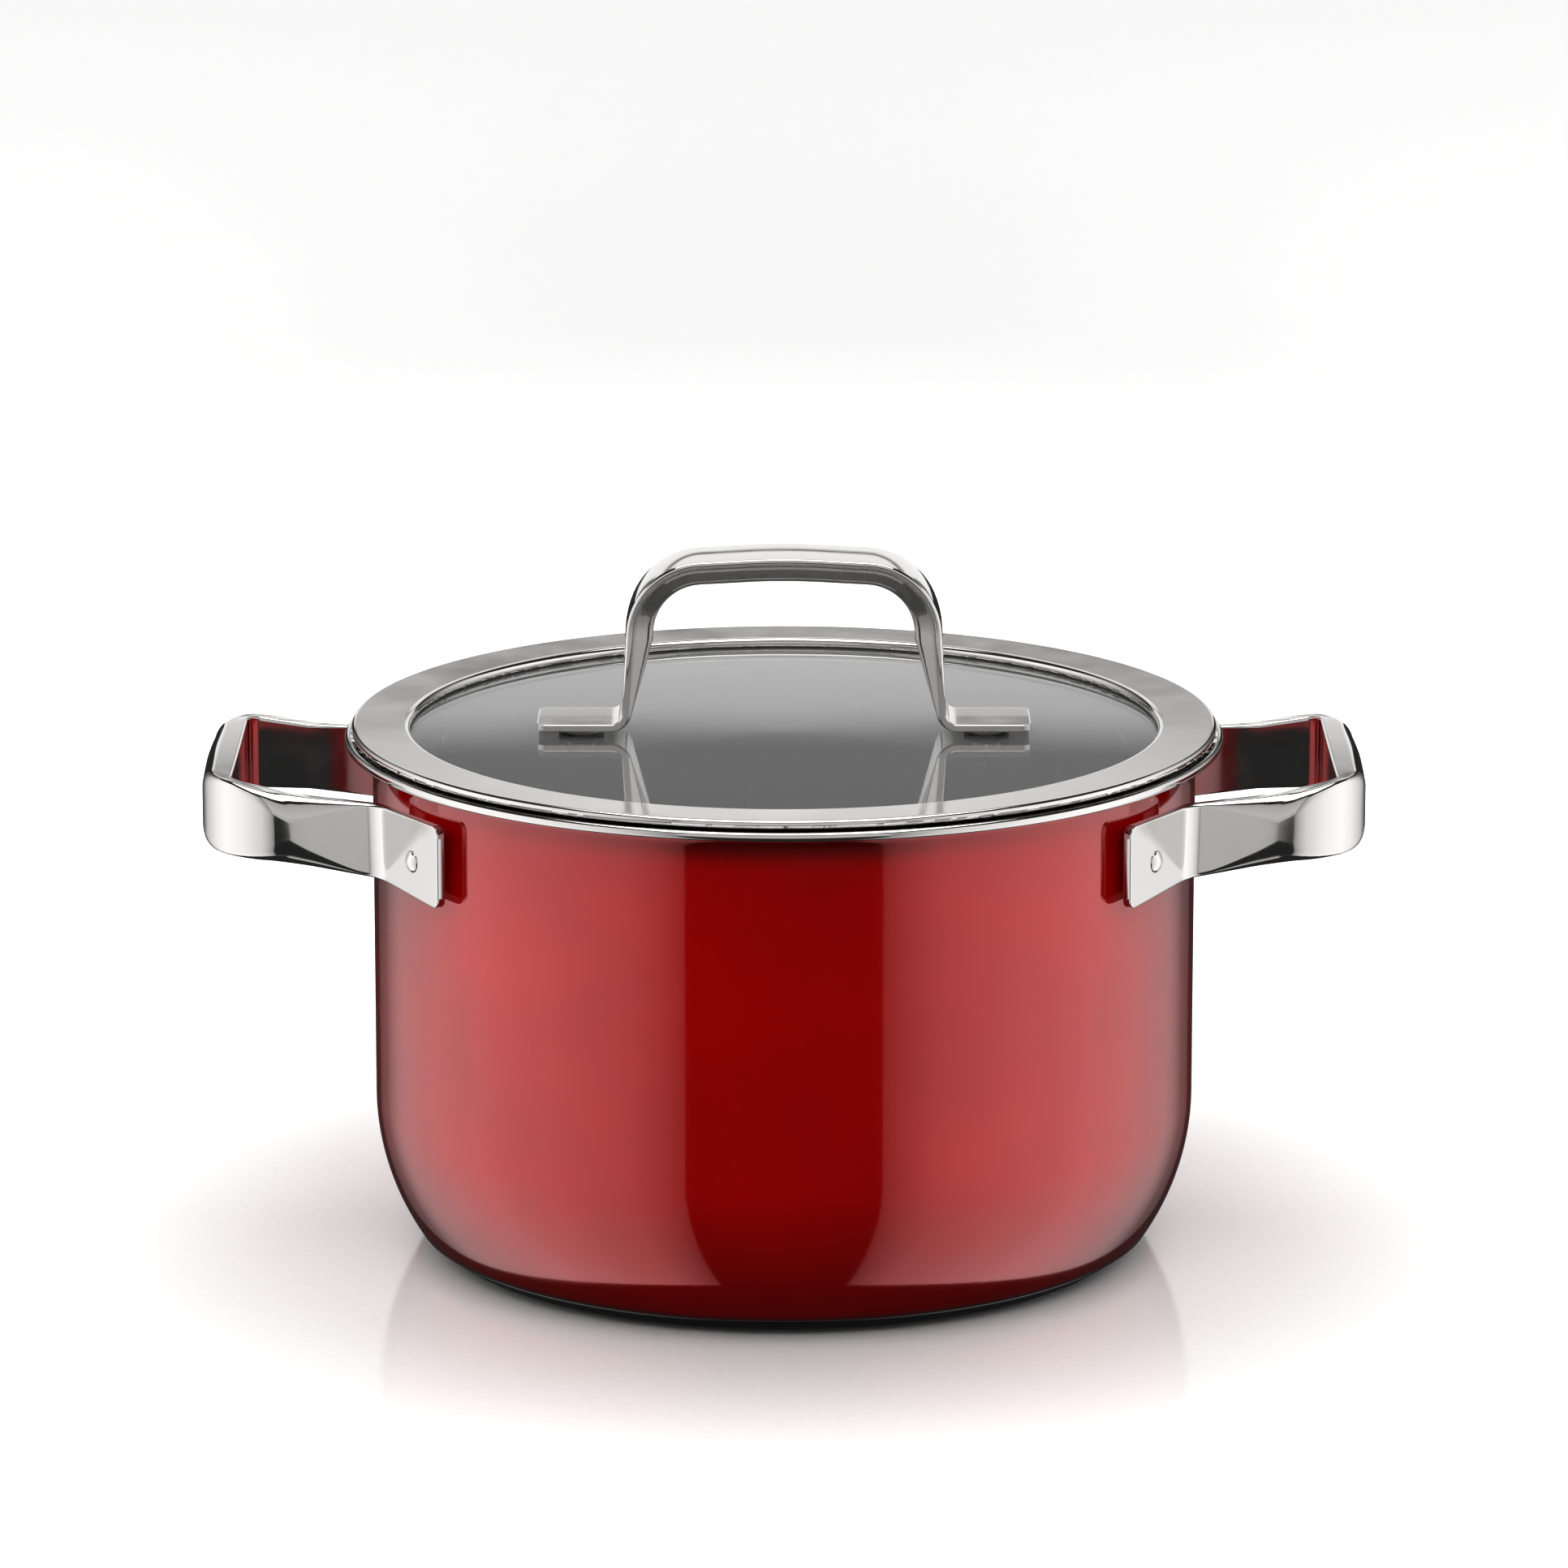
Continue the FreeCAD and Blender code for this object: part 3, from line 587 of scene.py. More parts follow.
def polished_steel():
    """18/10 stainless steel, buffed to a mirror: sharp reflections, hair-fine polishing scratches."""
    material, tree, shader, where = steel("steel_mirror_polished")
    # buffing scratches a few micrometres wide, drawn 0.25 mm wide and 12 mm long so that they show
    along = add(tree, "ShaderNodeMapping", {"Vector": where, "Rotation": (0.3, 0.2, 0.5),
                                            "Scale": (1 / (12 * MM), 1 / (0.25 * MM), 1 / (2 * MM))})
    hairs = add(tree, "ShaderNodeTexNoise", {"Vector": along.outputs[0], "Scale": 1.0, "Detail": 3.0,
                                             "Roughness": 0.6})
    bump = add(tree, "ShaderNodeBump", {"Height": hairs.outputs[0], "Distance": 0.0008 * MM,
                                        "Strength": 1.0})
    tree.links.new(bump.outputs[0], shader.inputs["Normal"])
    # finger marks and polish haze over about 15 mm
    haze = add(tree, "ShaderNodeTexNoise", {"Vector": where, "Scale": 1 / (15 * MM), "Detail": 5.0,
                                            "Roughness": 0.6})
    rough = add(tree, "ShaderNodeMapRange", {"Value": haze.outputs[0], "From Min": 0.35,
                                             "From Max": 0.7, "To Min": 0.05, "To Max": 0.11})
    tree.links.new(rough.outputs[0], shader.inputs["Roughness"])
    return material


def turned_steel():
    """Stainless steel, pressed then fine-turned on a lathe: a soft mirror with concentric lines."""
    material, tree, shader, where = steel("steel_fine_turned")
    # a turning line every 0.05 mm, drawn every 0.7 mm so that they show
    flat = add(tree, "ShaderNodeMapping", {"Vector": where, "Scale": (1.0, 1.0, 0.0)})
    radius = add(tree, "ShaderNodeVectorMath", {"operation": "LENGTH", 0: flat.outputs[0]})
    lines = add(tree, "ShaderNodeTexNoise", {"noise_dimensions": "1D", "W": radius.outputs["Value"],
                                             "Scale": 1 / (0.7 * MM), "Detail": 2.0})
    bump = add(tree, "ShaderNodeBump", {"Height": lines.outputs[0], "Distance": 0.0004 * MM,
                                        "Strength": 1.0})
    tree.links.new(bump.outputs[0], shader.inputs["Normal"])
    haze = add(tree, "ShaderNodeTexNoise", {"Vector": where, "Scale": 1 / (25 * MM), "Detail": 4.0})
    rough = add(tree, "ShaderNodeMapRange", {"Value": haze.outputs[0], "From Min": 0.3,
                                             "From Max": 0.7, "To Min": 0.08, "To Max": 0.13})
    tree.links.new(rough.outputs[0], shader.inputs["Roughness"])
    return material


def satin_steel():
    """Stainless steel, tumbled or as machined: even satin with a fine grain."""
    material, tree, shader, where = steel("steel_machined_satin")
    grain = add(tree, "ShaderNodeTexNoise", {"Vector": where, "Scale": 1 / (0.4 * MM), "Detail": 3.0})
    bump = add(tree, "ShaderNodeBump", {"Height": grain.outputs[0], "Distance": 0.003 * MM,
                                        "Strength": 1.0})
    tree.links.new(bump.outputs[0], shader.inputs["Normal"])
    rough = add(tree, "ShaderNodeMapRange", {"Value": grain.outputs[0], "To Min": 0.24, "To Max": 0.36})
    tree.links.new(rough.outputs[0], shader.inputs["Roughness"])
    return material


def smoked_glass():
    """Soda-lime glass, body-tinted grey and toughened: clear, dark and very even."""
    material, tree, shader, where = finish("glass_smoked_toughened", {
        "Base Color": colour(bpy.context.scene.pot_finishes.smoke), "Transmission Weight": 0.94,
        "IOR": 1.52})
    # cloth marks leave it very slightly duller in patches
    marks = add(tree, "ShaderNodeTexNoise", {"Vector": where, "Scale": 1 / (18 * MM), "Detail": 5.0})
    rough = add(tree, "ShaderNodeMapRange", {"Value": marks.outputs[0], "From Min": 0.5,
                                             "From Max": 0.8, "To Min": 0.0, "To Max": 0.02})
    tree.links.new(rough.outputs[0], shader.inputs["Roughness"])
    return material


def silicone():
    """Silicone rubber, moulded: matt black that still catches a soft light along its edges."""
    material, tree, shader, where = finish("silicone_moulded_black", {
        "Base Color": colour(bpy.context.scene.pot_finishes.silicone), "IOR": 1.41})
    grain = add(tree, "ShaderNodeTexNoise", {"Vector": where, "Scale": 1 / (0.5 * MM), "Detail": 3.0})
    bump = add(tree, "ShaderNodeBump", {"Height": grain.outputs[0], "Distance": 0.02 * MM,
                                        "Strength": 1.0})
    tree.links.new(bump.outputs[0], shader.inputs["Normal"])
    rough = add(tree, "ShaderNodeMapRange", {"Value": grain.outputs[0], "To Min": 0.5, "To Max": 0.68})
    tree.links.new(rough.outputs[0], shader.inputs["Roughness"])
    return material


def clear_silicone():
    """Clear silicone rubber, moulded: milky, see-through and slightly uneven."""
    material, tree, shader, where = finish("silicone_moulded_clear", {
        "Base Color": colour("#E4E4E2"), "Transmission Weight": 0.8, "IOR": 1.41})
    cloud = add(tree, "ShaderNodeTexNoise", {"Vector": where, "Scale": 1 / (2 * MM), "Detail": 3.0})
    rough = add(tree, "ShaderNodeMapRange", {"Value": cloud.outputs[0], "To Min": 0.08, "To Max": 0.2})
    tree.links.new(rough.outputs[0], shader.inputs["Roughness"])
    bump = add(tree, "ShaderNodeBump", {"Height": cloud.outputs[0], "Distance": 0.02 * MM,
                                        "Strength": 1.0})
    tree.links.new(bump.outputs[0], shader.inputs["Normal"])
    return material


def floor_paper():
    """Paper, calendered to a satin white: pale and even, with a faint sheen close to the pot."""
    paper, tree, shader, where = finish("paper_satin_white", {
        "Roughness": 0.12, "Emission Color": (1.0, 1.0, 1.0, 1.0)})
    # fibres of a few millimetres
    fibres = add(tree, "ShaderNodeTexNoise", {"Vector": where, "Scale": 400.0, "Detail": 3.0})
    tone = add(tree, "ShaderNodeValToRGB", {"Fac": fibres.outputs[0], "stops": [
        (0.3, colour("#CCCBCA")), (0.7, colour("#D0CFCE"))]})
    # it returns little light to the pot, which darkens towards its base
    path = tree.nodes.new("ShaderNodeLightPath").outputs
    shown = add(tree, "ShaderNodeMix", {"data_type": "RGBA", 0: path["Is Diffuse Ray"],
                                        6: tone.outputs[0], 7: (0.02, 0.02, 0.02, 1.0)})
    tree.links.new(shown.outputs[2], shader.inputs["Base Color"])
    out = add(tree, "ShaderNodeVectorMath", {"operation": "LENGTH", 0: where})
    # a faint mirror image by the base is lost further out, where the floor burns out to white
    for socket, (near, far), (start, end) in (
            ("Specular IOR Level", (0.09, 0.24), (0.5, 0.0)),
            ("Emission Strength", (0.13, 0.38), (0.0, 0.8))):
        fade = add(tree, "ShaderNodeMapRange", {
            "interpolation_type": "SMOOTHSTEP", "Value": out.outputs["Value"], "From Min": near,
            "From Max": far, "To Min": start, "To Max": end})
        seen = add(tree, "ShaderNodeMath", {"operation": "MULTIPLY", 0: fade.outputs[0],
                                            1: path["Is Camera Ray"]})
        tree.links.new(seen.outputs[0], shader.inputs[socket])
    return paper


# ---- pot ---------------------------------------------------------------------------------
class POT_OT_shell(bpy.types.Operator):
    """Deep-drawn shell: flat bottom, round corner, straight wall and flared pouring rim"""
    bl_idname = "stock_pot.shell"
    bl_label = "Shell"

    def execute(self, context):
        s = context.scene.pot_sizes
        looks = context.scene.pot_finishes
        lip_z = s.rim_z - s.band_t - s.sheet
        centre_r = s.wall_r - s.corner_r
        bottom_r = s.wall_r - s.corner_in
        sweep = math.acos((bottom_r - centre_r) / s.corner_r)
        centre_z = s.base_h + s.corner_r * math.sin(sweep)
        lip_start = s.rim_r - s.band_bend_r - s.lip_w
        flare_z = lip_z - (lip_start - s.wall_r) / math.tan(s.flare)
        line = [(Vector((0.0, s.base_h)), Vector((1.0, 0.0))),
                (Vector((bottom_r - 0.4 * MM, s.base_h)), Vector((1.0, 0.0)))]
        steps = 24
        for k in range(steps + 1):
            a = sweep * (1 - k / steps)
            line.append((Vector((centre_r + s.corner_r * math.cos(a),
                                 centre_z - s.corner_r * math.sin(a))),
                         Vector((math.sin(a), math.cos(a)))))
        line += run_through([(s.wall_r, centre_z, 0), (s.wall_r, flare_z, s.flare_r),
                             (lip_start, lip_z, s.lip_r), (s.rim_r - s.band_bend_r, lip_z, 0)])[1:]
        points = sheet_outline(line, s.sheet, rounded=False)
        mesh = turned("shell", points, red_enamel(), closed=False, lining_from=len(line),
                      lining=speckled_enamel("enamel_fired_grey", colour(looks.lining),
                                             colour("#8A8A88"), 0.12, 0.2))
        settle("shell", mesh, "pot", "red_enamel", "pot_body")
        return {"FINISHED"}


class POT_OT_base(bpy.types.Operator):
    """Black base under the shell, with a rounded lower edge and a fine seam above"""
    bl_idname = "stock_pot.base"
    bl_label = "Base"

    def execute(self, context):
        s = context.scene.pot_sizes
        top_r = s.wall_r - s.corner_in
        line = run_through([(0, 0, 0), (top_r - s.base_slope, 0, s.base_edge_r),
                            (top_r, s.base_h, s.seam), (0, s.base_h, 0)], steps=12)
        finish_black = speckled_enamel("enamel_fired_black", colour(context.scene.pot_finishes.black),
                                       colour("#1C1B1B"), 0.2, 0.32)
        mesh = turned("base", [p for p, _ in line], finish_black, closed=False)
        settle("base", mesh, "pot", "black_enamel", "base_plate")
        return {"FINISHED"}


class POT_OT_rim(bpy.types.Operator):
    """Polished band folded over the edge of the pouring rim"""
    bl_idname = "stock_pot.rim"
    bl_label = "Rim band"

    def execute(self, context):
        s = context.scene.pot_sizes
        low = s.rim_z - 2 * s.band_t - s.sheet
        line = run_through([(s.rim_r - s.band_under, low, 0), (s.rim_r, low, s.band_bend_r),
                            (s.rim_r, s.rim_z, s.band_bend_r), (s.rim_r - s.band_w, s.rim_z, 0)])
        points = sheet_outline(line, s.band_t)
        settle("rim", turned("rim", points, polished_steel()), "pot", "polished_steel", "rim_band")
        return {"FINISHED"}


# ---- side handles ------------------------------------------------------------------------
def flange_place(s, depth, along):
    """A plan point at a distance from the axis and along the front flange of the right handle."""
    a = s.flange_turn
    return depth * math.cos(a) - along * math.sin(a), -depth * math.sin(a) - along * math.cos(a)


def flange_meet(s, depth, half_y):
    """How far along a flange its face at this depth crosses a line parallel to the arm."""
    a = s.flange_turn
    return (half_y - depth * math.sin(a)) / math.cos(a)


def height_at(line, x):
    """Height of a line of (x, z) points at x."""
    if x <= line[0].x:
        return line[0].y
    for a, b in zip(line, line[1:]):
        if x <= b.x:
            return a.y + (b.y - a.y) * (x - a.x) / max(b.x - a.x, 1e-9)
    return line[-1].y


def rounded_section(corners, edges):
    """Points round a section, each corner with its own rounding and a support on either side."""
    steps = 6
    ring = []
    for k, (here, edge) in enumerate(zip(corners, edges)):
        back_way = (corners[k - 1] - here).normalized()
        next_way = (corners[(k + 1) % len(corners)] - here).normalized()
        ring.append(here + back_way * edge * SUPPORT)
        for j in range(steps + 1):
            t = math.pi / 2 * j / steps
            ring.append(here + back_way * edge * (1 - math.sin(t))
                        + next_way * edge * (1 - math.cos(t)))
        ring.append(here + next_way * edge * SUPPORT)
    return ring


def handle_rings(s, wall_r, rim_z):
    """Rings of points round the right handle, from its front flange's end to its back one's."""
    near, far = wall_r + s.flange_gap, wall_r + s.flange_gap + s.flange_t
    neck_y = s.half_y - s.neck_t
    grip_x = s.out_x - s.end_t
    outer = [flange_place(s, far, s.flange_end) + (0,),
             flange_place(s, far, flange_meet(s, far, s.half_y)) + (s.flange_bend_r,),
             (s.out_x, -s.half_y, s.outer_r), (s.out_x, 0, 0)]
    inner = [flange_place(s, near, s.flange_end) + (0,),
             flange_place(s, near, flange_meet(s, near, neck_y)) + (s.flange_bend_r,),
             (grip_x, s.arm_t - s.half_y, s.inner_r), (grip_x, 0, 0)]
    steps, splits = 14, 16
    outer = [p for p, _ in run_through(outer, steps=steps, splits=splits)]
    inner = [p for p, _ in run_through(inner, steps=steps, splits=splits)]
    bend_start, bend_end = outer[splits].x, outer[splits + steps].x

    # x, how far the lower and the upper edge lie below the rim in mm, radius of their curve in mm
    stations = [(inner[0].x, 35.4, 10.6, 0), (bend_start, 33.4, 11.2, 20),
                (s.out_x - s.outer_r, 28.8, 9.0, 25), (grip_x, 27.8, 5.4, 12),
                (s.out_x, 27.8, 5.4, 0)]
    under = [p for p, _ in run_through([(x, rim_z - low * MM, r * MM) for x, low, _, r in stations])]
    over = [p for p, _ in run_through([(x, rim_z - top * MM, r * MM) for x, _, top, r in stations])]

    # extra places close to the free end, for its rounded corners and edges
    way_out, way_in = (outer[1] - outer[0]).normalized(), (inner[1] - inner[0]).normalized()
    r = s.flange_corner_r
    pairs = [(outer[0] + way_out * d, inner[0] + way_in * d, d) for d in eased(r, 8)]
    run = 0.0
    for k in range(1, len(outer)):
        run += (outer[k] - outer[k - 1]).length
        if run > r * 1.2:
            pairs.append((outer[k], inner[k], run))

    # the arm's outer face leans back a little between its bend and the grip
    lean_end, lean_fade = s.out_x - s.outer_r + 3.5 * MM, 9 * MM
    least_edge = 0.2 * MM
    rings = []
    for out, back, d in pairs:
        across = back - out
        spare = max(across.length - s.flange_t, 0.0)
        shrink = cut_in(END_ROUND, d)
        trim = cut_in(r, d) + shrink
        unit = across.normalized()
        out, back = out + unit * shrink, back - unit * shrink
        low_z, high_z = height_at(under, out.x) + trim, height_at(over, out.x) - trim
        near_flange = clamped((out.x - bend_start) / (bend_end - bend_start))
        near_grip = clamped((lean_end - out.x) / lean_fade)
        leant = out + Vector((0.0, math.tan(s.lean) * (high_z - low_z) * near_flange * near_grip))
        corners = [(out, low_z), (back, height_at(under, back.x) + trim),
                   (back, height_at(over, back.x) - trim), (leant, high_z)]
        outer_edge = max(s.edge_r + s.outer_share * spare - shrink, least_edge)
        inner_edge = max(s.edge_r + s.inner_share * spare - shrink, least_edge)
        rings.append(rounded_section([Vector((p.x, p.y, z)) for p, z in corners],
                                     (outer_edge, inner_edge, inner_edge, outer_edge)))
    return rings + [[Vector((p.x, -p.y, p.z)) for p in ring] for ring in reversed(rings[:-1])]


class POT_OT_handles(bpy.types.Operator):
    """Two solid polished side handles, each thinning into two riveted flanges"""
    bl_idname = "stock_pot.handles"
    bl_label = "Side handles"

    def execute(self, context):
        s, pot = context.scene.pot_handles, context.scene.pot_sizes
        steel = polished_steel()
        rings = handle_rings(s, pot.wall_r, pot.rim_z)
        for side, sign in (("right", 1), ("left", -1)):
            mesh = lofted("handle_" + side, [[Vector((sign * p.x, sign * p.y, p.z)) for p in ring]
                                             for ring in rings])
            mesh.materials.append(steel)
            settle("handle_" + side, mesh, "pot", "polished_steel", "side_handle_" + side)
        return {"FINISHED"}


class POT_OT_rivets(bpy.types.Operator):
    """Two rivets and two bushes for each side handle"""
    bl_idname = "stock_pot.rivets"
    bl_label = "Rivets and bushes"

    def execute(self, context):
        s, pot = context.scene.pot_handles, context.scene.pot_sizes
        inside = pot.wall_r - pot.sheet
        near, far = pot.wall_r + s.flange_gap, pot.wall_r + s.flange_gap + s.flange_t
        shank, fit = 2.4 * MM, 0.05 * MM        # radius, and the bush's gap round it
        head, head_h = 3.3 * MM, 1.5 * MM       # domed head over the flange
        tail, tail_h = 5.5 * MM, 1.4 * MM       # flat head inside the pot
        bush, seat = 5.5 * MM, 0.13 * MM        # radius, and the gap to the curved wall
        # flat tail, shank and domed head, drawn along Z from the pot's axis
        line = run_through([(0, inside - tail_h, 0), (tail, inside - tail_h, 0.5 * MM),
                            (tail, inside - seat, 0.15 * MM), (shank, inside - seat, 0),
                            (shank, far, 0)])
        rivet = [p for p, _ in line] + [Vector((head - 0.1 * MM, far)), Vector((head, far + 0.06 * MM))]
        ball = (head ** 2 + head_h ** 2) / (2 * head_h)
        reach, steps = math.asin(head / ball), 10
        for k in range(1, steps + 1):
            a = reach * (1 - k / steps)
            rivet.append(Vector((ball * math.sin(a), far + head_h - ball + ball * math.cos(a))))
        bush_line = outline([(shank + fit, inside + pot.sheet + seat, 0.1 * MM),
                             (bush, inside + pot.sheet + seat, 0.1 * MM),
                             (bush, near, 0.25 * MM), (shank + fit, near, 0.1 * MM)])
        steel, satin = polished_steel(), satin_steel()
        for side, turn in (("right", 0.0), ("left", math.pi)):
            # each turned fastener is tipped from Z onto the line from the axis to its flange
            places = [((0.0, 0.0, s.rivet_z), (0.0, math.pi / 2, turn + way * s.flange_turn))
                      for way in (-1, 1)]
            mesh = fastened("rivets_" + side, turned("rivet", rivet, steel, closed=False, segments=48),
                            places, steel)
            settle("rivets_" + side, mesh, "pot", "polished_steel", "handle_rivets_" + side)
            mesh = fastened("bushes_" + side, turned("bush", bush_line, satin, segments=48),
                            places, satin)
            settle("bushes_" + side, mesh, "pot", "satin_steel", "handle_spacers_" + side)
        return {"FINISHED"}


# ---- lid ---------------------------------------------------------------------------------
class POT_OT_seal(bpy.types.Operator):
    """Silicone seal between the rim and the lid, with a lip inside the pot's mouth"""
    bl_idname = "stock_pot.seal"
    bl_label = "Lid seal"

    def execute(self, context):
        s, pot = context.scene.pot_lid, context.scene.pot_sizes
        lip_r = pot.wall_r - pot.sheet - s.mouth_gap
        lip_in = lip_r - s.seal_lip_t
        low, high = pot.rim_z + s.gap, s.top_z - s.ring_t - s.gap
        outer = s.edge_r - s.ring_t - s.gap
        drop = math.tan(s.ring_dish) * s.ring_w
        points = outline([(lip_in, pot.rim_z - s.seal_lip_h, s.seal_round),
                          (lip_r, pot.rim_z - s.seal_lip_h, s.seal_round), (lip_r, low, 0.2 * MM),
                          (outer, low, s.seal_round), (outer, high, s.seal_round),
                          (lip_in, high - drop, 0.2 * MM)])
        settle("seal_ring", turned("seal_ring", points, silicone()), "seal", "black_silicone",
               "lid_seal")
        return {"FINISHED"}


class POT_OT_ring(bpy.types.Operator):
    """Wide pressed steel ring of the lid, open over the glass"""
    bl_idname = "stock_pot.ring"
    bl_label = "Lid ring"

    def execute(self, context):
        s = context.scene.pot_lid
        inner = s.edge_r - s.ring_w
        drop = math.tan(s.ring_dish) * s.ring_w
        line = run_through([(s.edge_r, s.top_z - s.ring_depth, 0), (s.edge_r, s.top_z, s.ring_bend_r),
                            (inner, s.top_z - drop, s.ring_lip_r),
                            (inner, s.glass_top + s.gasket_lip, 0)])
        points = sheet_outline(line, s.ring_t)
        settle("ring", turned("ring", points, turned_steel()), "lid", "polished_steel", "lid_ring")
        return {"FINISHED"}


class POT_OT_glass(bpy.types.Operator):
    """Smoked glass with its gasket and the ring that holds it from below"""
    bl_idname = "stock_pot.glass"
    bl_label = "Glass, gasket and retaining ring"

    def execute(self, context):
        s, pot = context.scene.pot_lid, context.scene.pot_sizes
        inner = s.edge_r - s.ring_w
        e = s.glass_edge_r
        line = run_through([(0, s.glass_low, 0), (s.glass_r, s.glass_low, e),
                            (s.glass_r, s.glass_top, e), (0, s.glass_top, 0)])
        glass = settle("glass", turned("glass", [p for p, _ in line], smoked_glass(), closed=False),
                       "lid", "smoked_glass", "lid_glass")
        glass.visible_shadow = False     # light reaches the inside of the pot through it

        foot = s.glass_low - s.gasket_foot
        lip = s.glass_top + s.gasket_lip
        points = outline([(inner, foot, 0.2 * MM), (s.glass_r + s.gasket_t, foot, 0.3 * MM),
                          (s.glass_r + s.gasket_t, lip, 0.3 * MM), (inner, lip, 0.12 * MM),
                          (inner, s.glass_top, 0.1 * MM), (s.glass_r, s.glass_top, 0.1 * MM),
                          (s.glass_r, s.glass_low, 0.1 * MM), (inner, s.glass_low, 0.1 * MM)], steps=4)
        settle("gasket", turned("gasket", points, silicone()), "lid", "black_silicone", "glass_gasket")

        bend = pot.wall_r - pot.sheet - s.mouth_gap - s.seal_lip_t - s.gap - s.retainer_t
        line = run_through([(inner, foot, 0), (bend, foot, s.retainer_bend_r),
                            (bend, s.top_z - s.ring_t - 0.35 * MM, 0)])
        points = sheet_outline(line, -s.retainer_t)
        settle("retainer", turned("retainer", points, satin_steel()), "lid", "satin_steel",
               "retaining_ring")
        return {"FINISHED"}


def strap_ring(s, point, way, half, trim):
    """Section of the lid's strap: a faint crown outside, a deep one inside, every edge rounded."""
    foot_top = s.foot_low + s.foot_t
    # 0 at the foot and 1 at the grip
    rise = clamped((point.y - foot_top) / (s.top_z - s.bow - s.grip_r - foot_top))
    depth = s.foot_t + (s.grip_t - s.foot_t) * rise
    edge = s.foot_t - s.crown_start + (s.edge_t - s.foot_t + s.crown_start) * rise
    inset = s.crown_start + (s.crown_in - s.crown_start) * rise
    face_r, side_r = (0.35 + 0.45 * rise) * MM, (0.3 + 3.2 * rise) * MM
    crown_r, crest_r = (0.3 + 5 * rise) * MM, 160 * MM
    half -= trim
    crown = max(math.tan(s.top_crown) * half * rise, 0.02 * MM)
    crest = trim - 0.28 * crown       # its wide curve brings the top back to the drawn line
    corners = [(-half, trim + crown / 2, face_r), (0, crest, crest_r),
               (half, trim + crown / 2, face_r), (half, edge - trim / 2, side_r),
               (half - inset, depth - trim, crown_r), (inset - half, depth - trim, crown_r),
               (-half, edge - trim / 2, side_r)]
    outward = Vector((way.y, -way.x))
    section = run_through(corners, closed=True, steps=5, splits=3, near=0.03)
    return [Vector((point.x - outward.x * q.y, q.x, point.y - outward.y * q.y)) for q, _ in section]


class POT_OT_strap(bpy.types.Operator):
    """Polished strap handle on the lid, with a crowned grip and two flat feet"""
    bl_idname = "stock_pot.strap"
    bl_label = "Lid handle"

    def execute(self, context):
        s = context.scene.pot_strap
        foot_top = s.foot_low + s.foot_t
        line = run_through([(s.foot_x, foot_top, 0), (s.leg_x, foot_top, s.foot_bend_r),
                            (s.leg_x - s.leg_lean, s.top_z - s.bow, s.grip_r),
                            (s.bow_x, s.top_z, s.bow_r), (0, s.top_z, 0)], steps=16, splits=10)
        way = line[0][1]
        r = s.foot_corner_r
        # extra places close to the end of the foot, for its rounded corners and edges
        distances = sorted(eased(r, 8) + eased(END_ROUND, 4)[1:-1])
        places = [(line[0][0] + way * d, way, d) for d in distances]
        run = 0.0
        for before, place in zip(line, line[1:]):
            run += (place[0] - before[0]).length
            if run > 1.1 * r:
                places.append((place[0], place[1], run))
        rings = []
        for point, way, d in places:
            rings.append(strap_ring(s, point, way, s.width / 2 - cut_in(r, d), cut_in(END_ROUND, d)))
        other = [[Vector((-p.x, p.y, p.z)) for p in ring] for ring in reversed(rings[:-1])]
        mesh = lofted("strap", rings + other)
        mesh.materials.append(polished_steel())
        settle("strap", mesh, "lid", "polished_steel", "lid_handle")
        return {"FINISHED"}


def cap_nut_mesh(low, joint, top, across):
    """Domed nut: chamfered hexagon between joint and top, dome down to low."""
    turns = [2 * math.pi * k / 48 for k in range(48)]
    flat_r = across / 2
    corner_r = flat_r / math.cos(math.pi / 6)
    rings = []
    # height, and the radius that the hexagon's corners are cut back to
    for z, limit in ((top, flat_r * 0.96), (top - 0.12 * MM, flat_r * 1.02),
                     (top - 0.35 * MM, corner_r), (joint + 0.35 * MM, corner_r),
                     (joint + 0.12 * MM, flat_r * 1.02), (joint, flat_r * 0.95)):
        ring = []
        for a in turns:
            off_flat = (a + math.pi / 6) % (math.pi / 3) - math.pi / 6
            r = min(flat_r / math.cos(off_flat), limit)
            ring.append(Vector((r * math.cos(a), r * math.sin(a), z)))
        rings.append(ring)
    dome_r, height, steps = flat_r - 0.2 * MM, joint - low, 8
    for k in range(1, steps + 1):
        fall = math.pi / 2 * k / steps
        z = joint - height * math.sin(fall)
        r = max(dome_r * math.cos(fall) ** 0.7, 0.05 * MM)
        rings.append([Vector((r * math.cos(a), r * math.sin(a), z)) for a in turns])
    return lofted("cap_nut", rings)


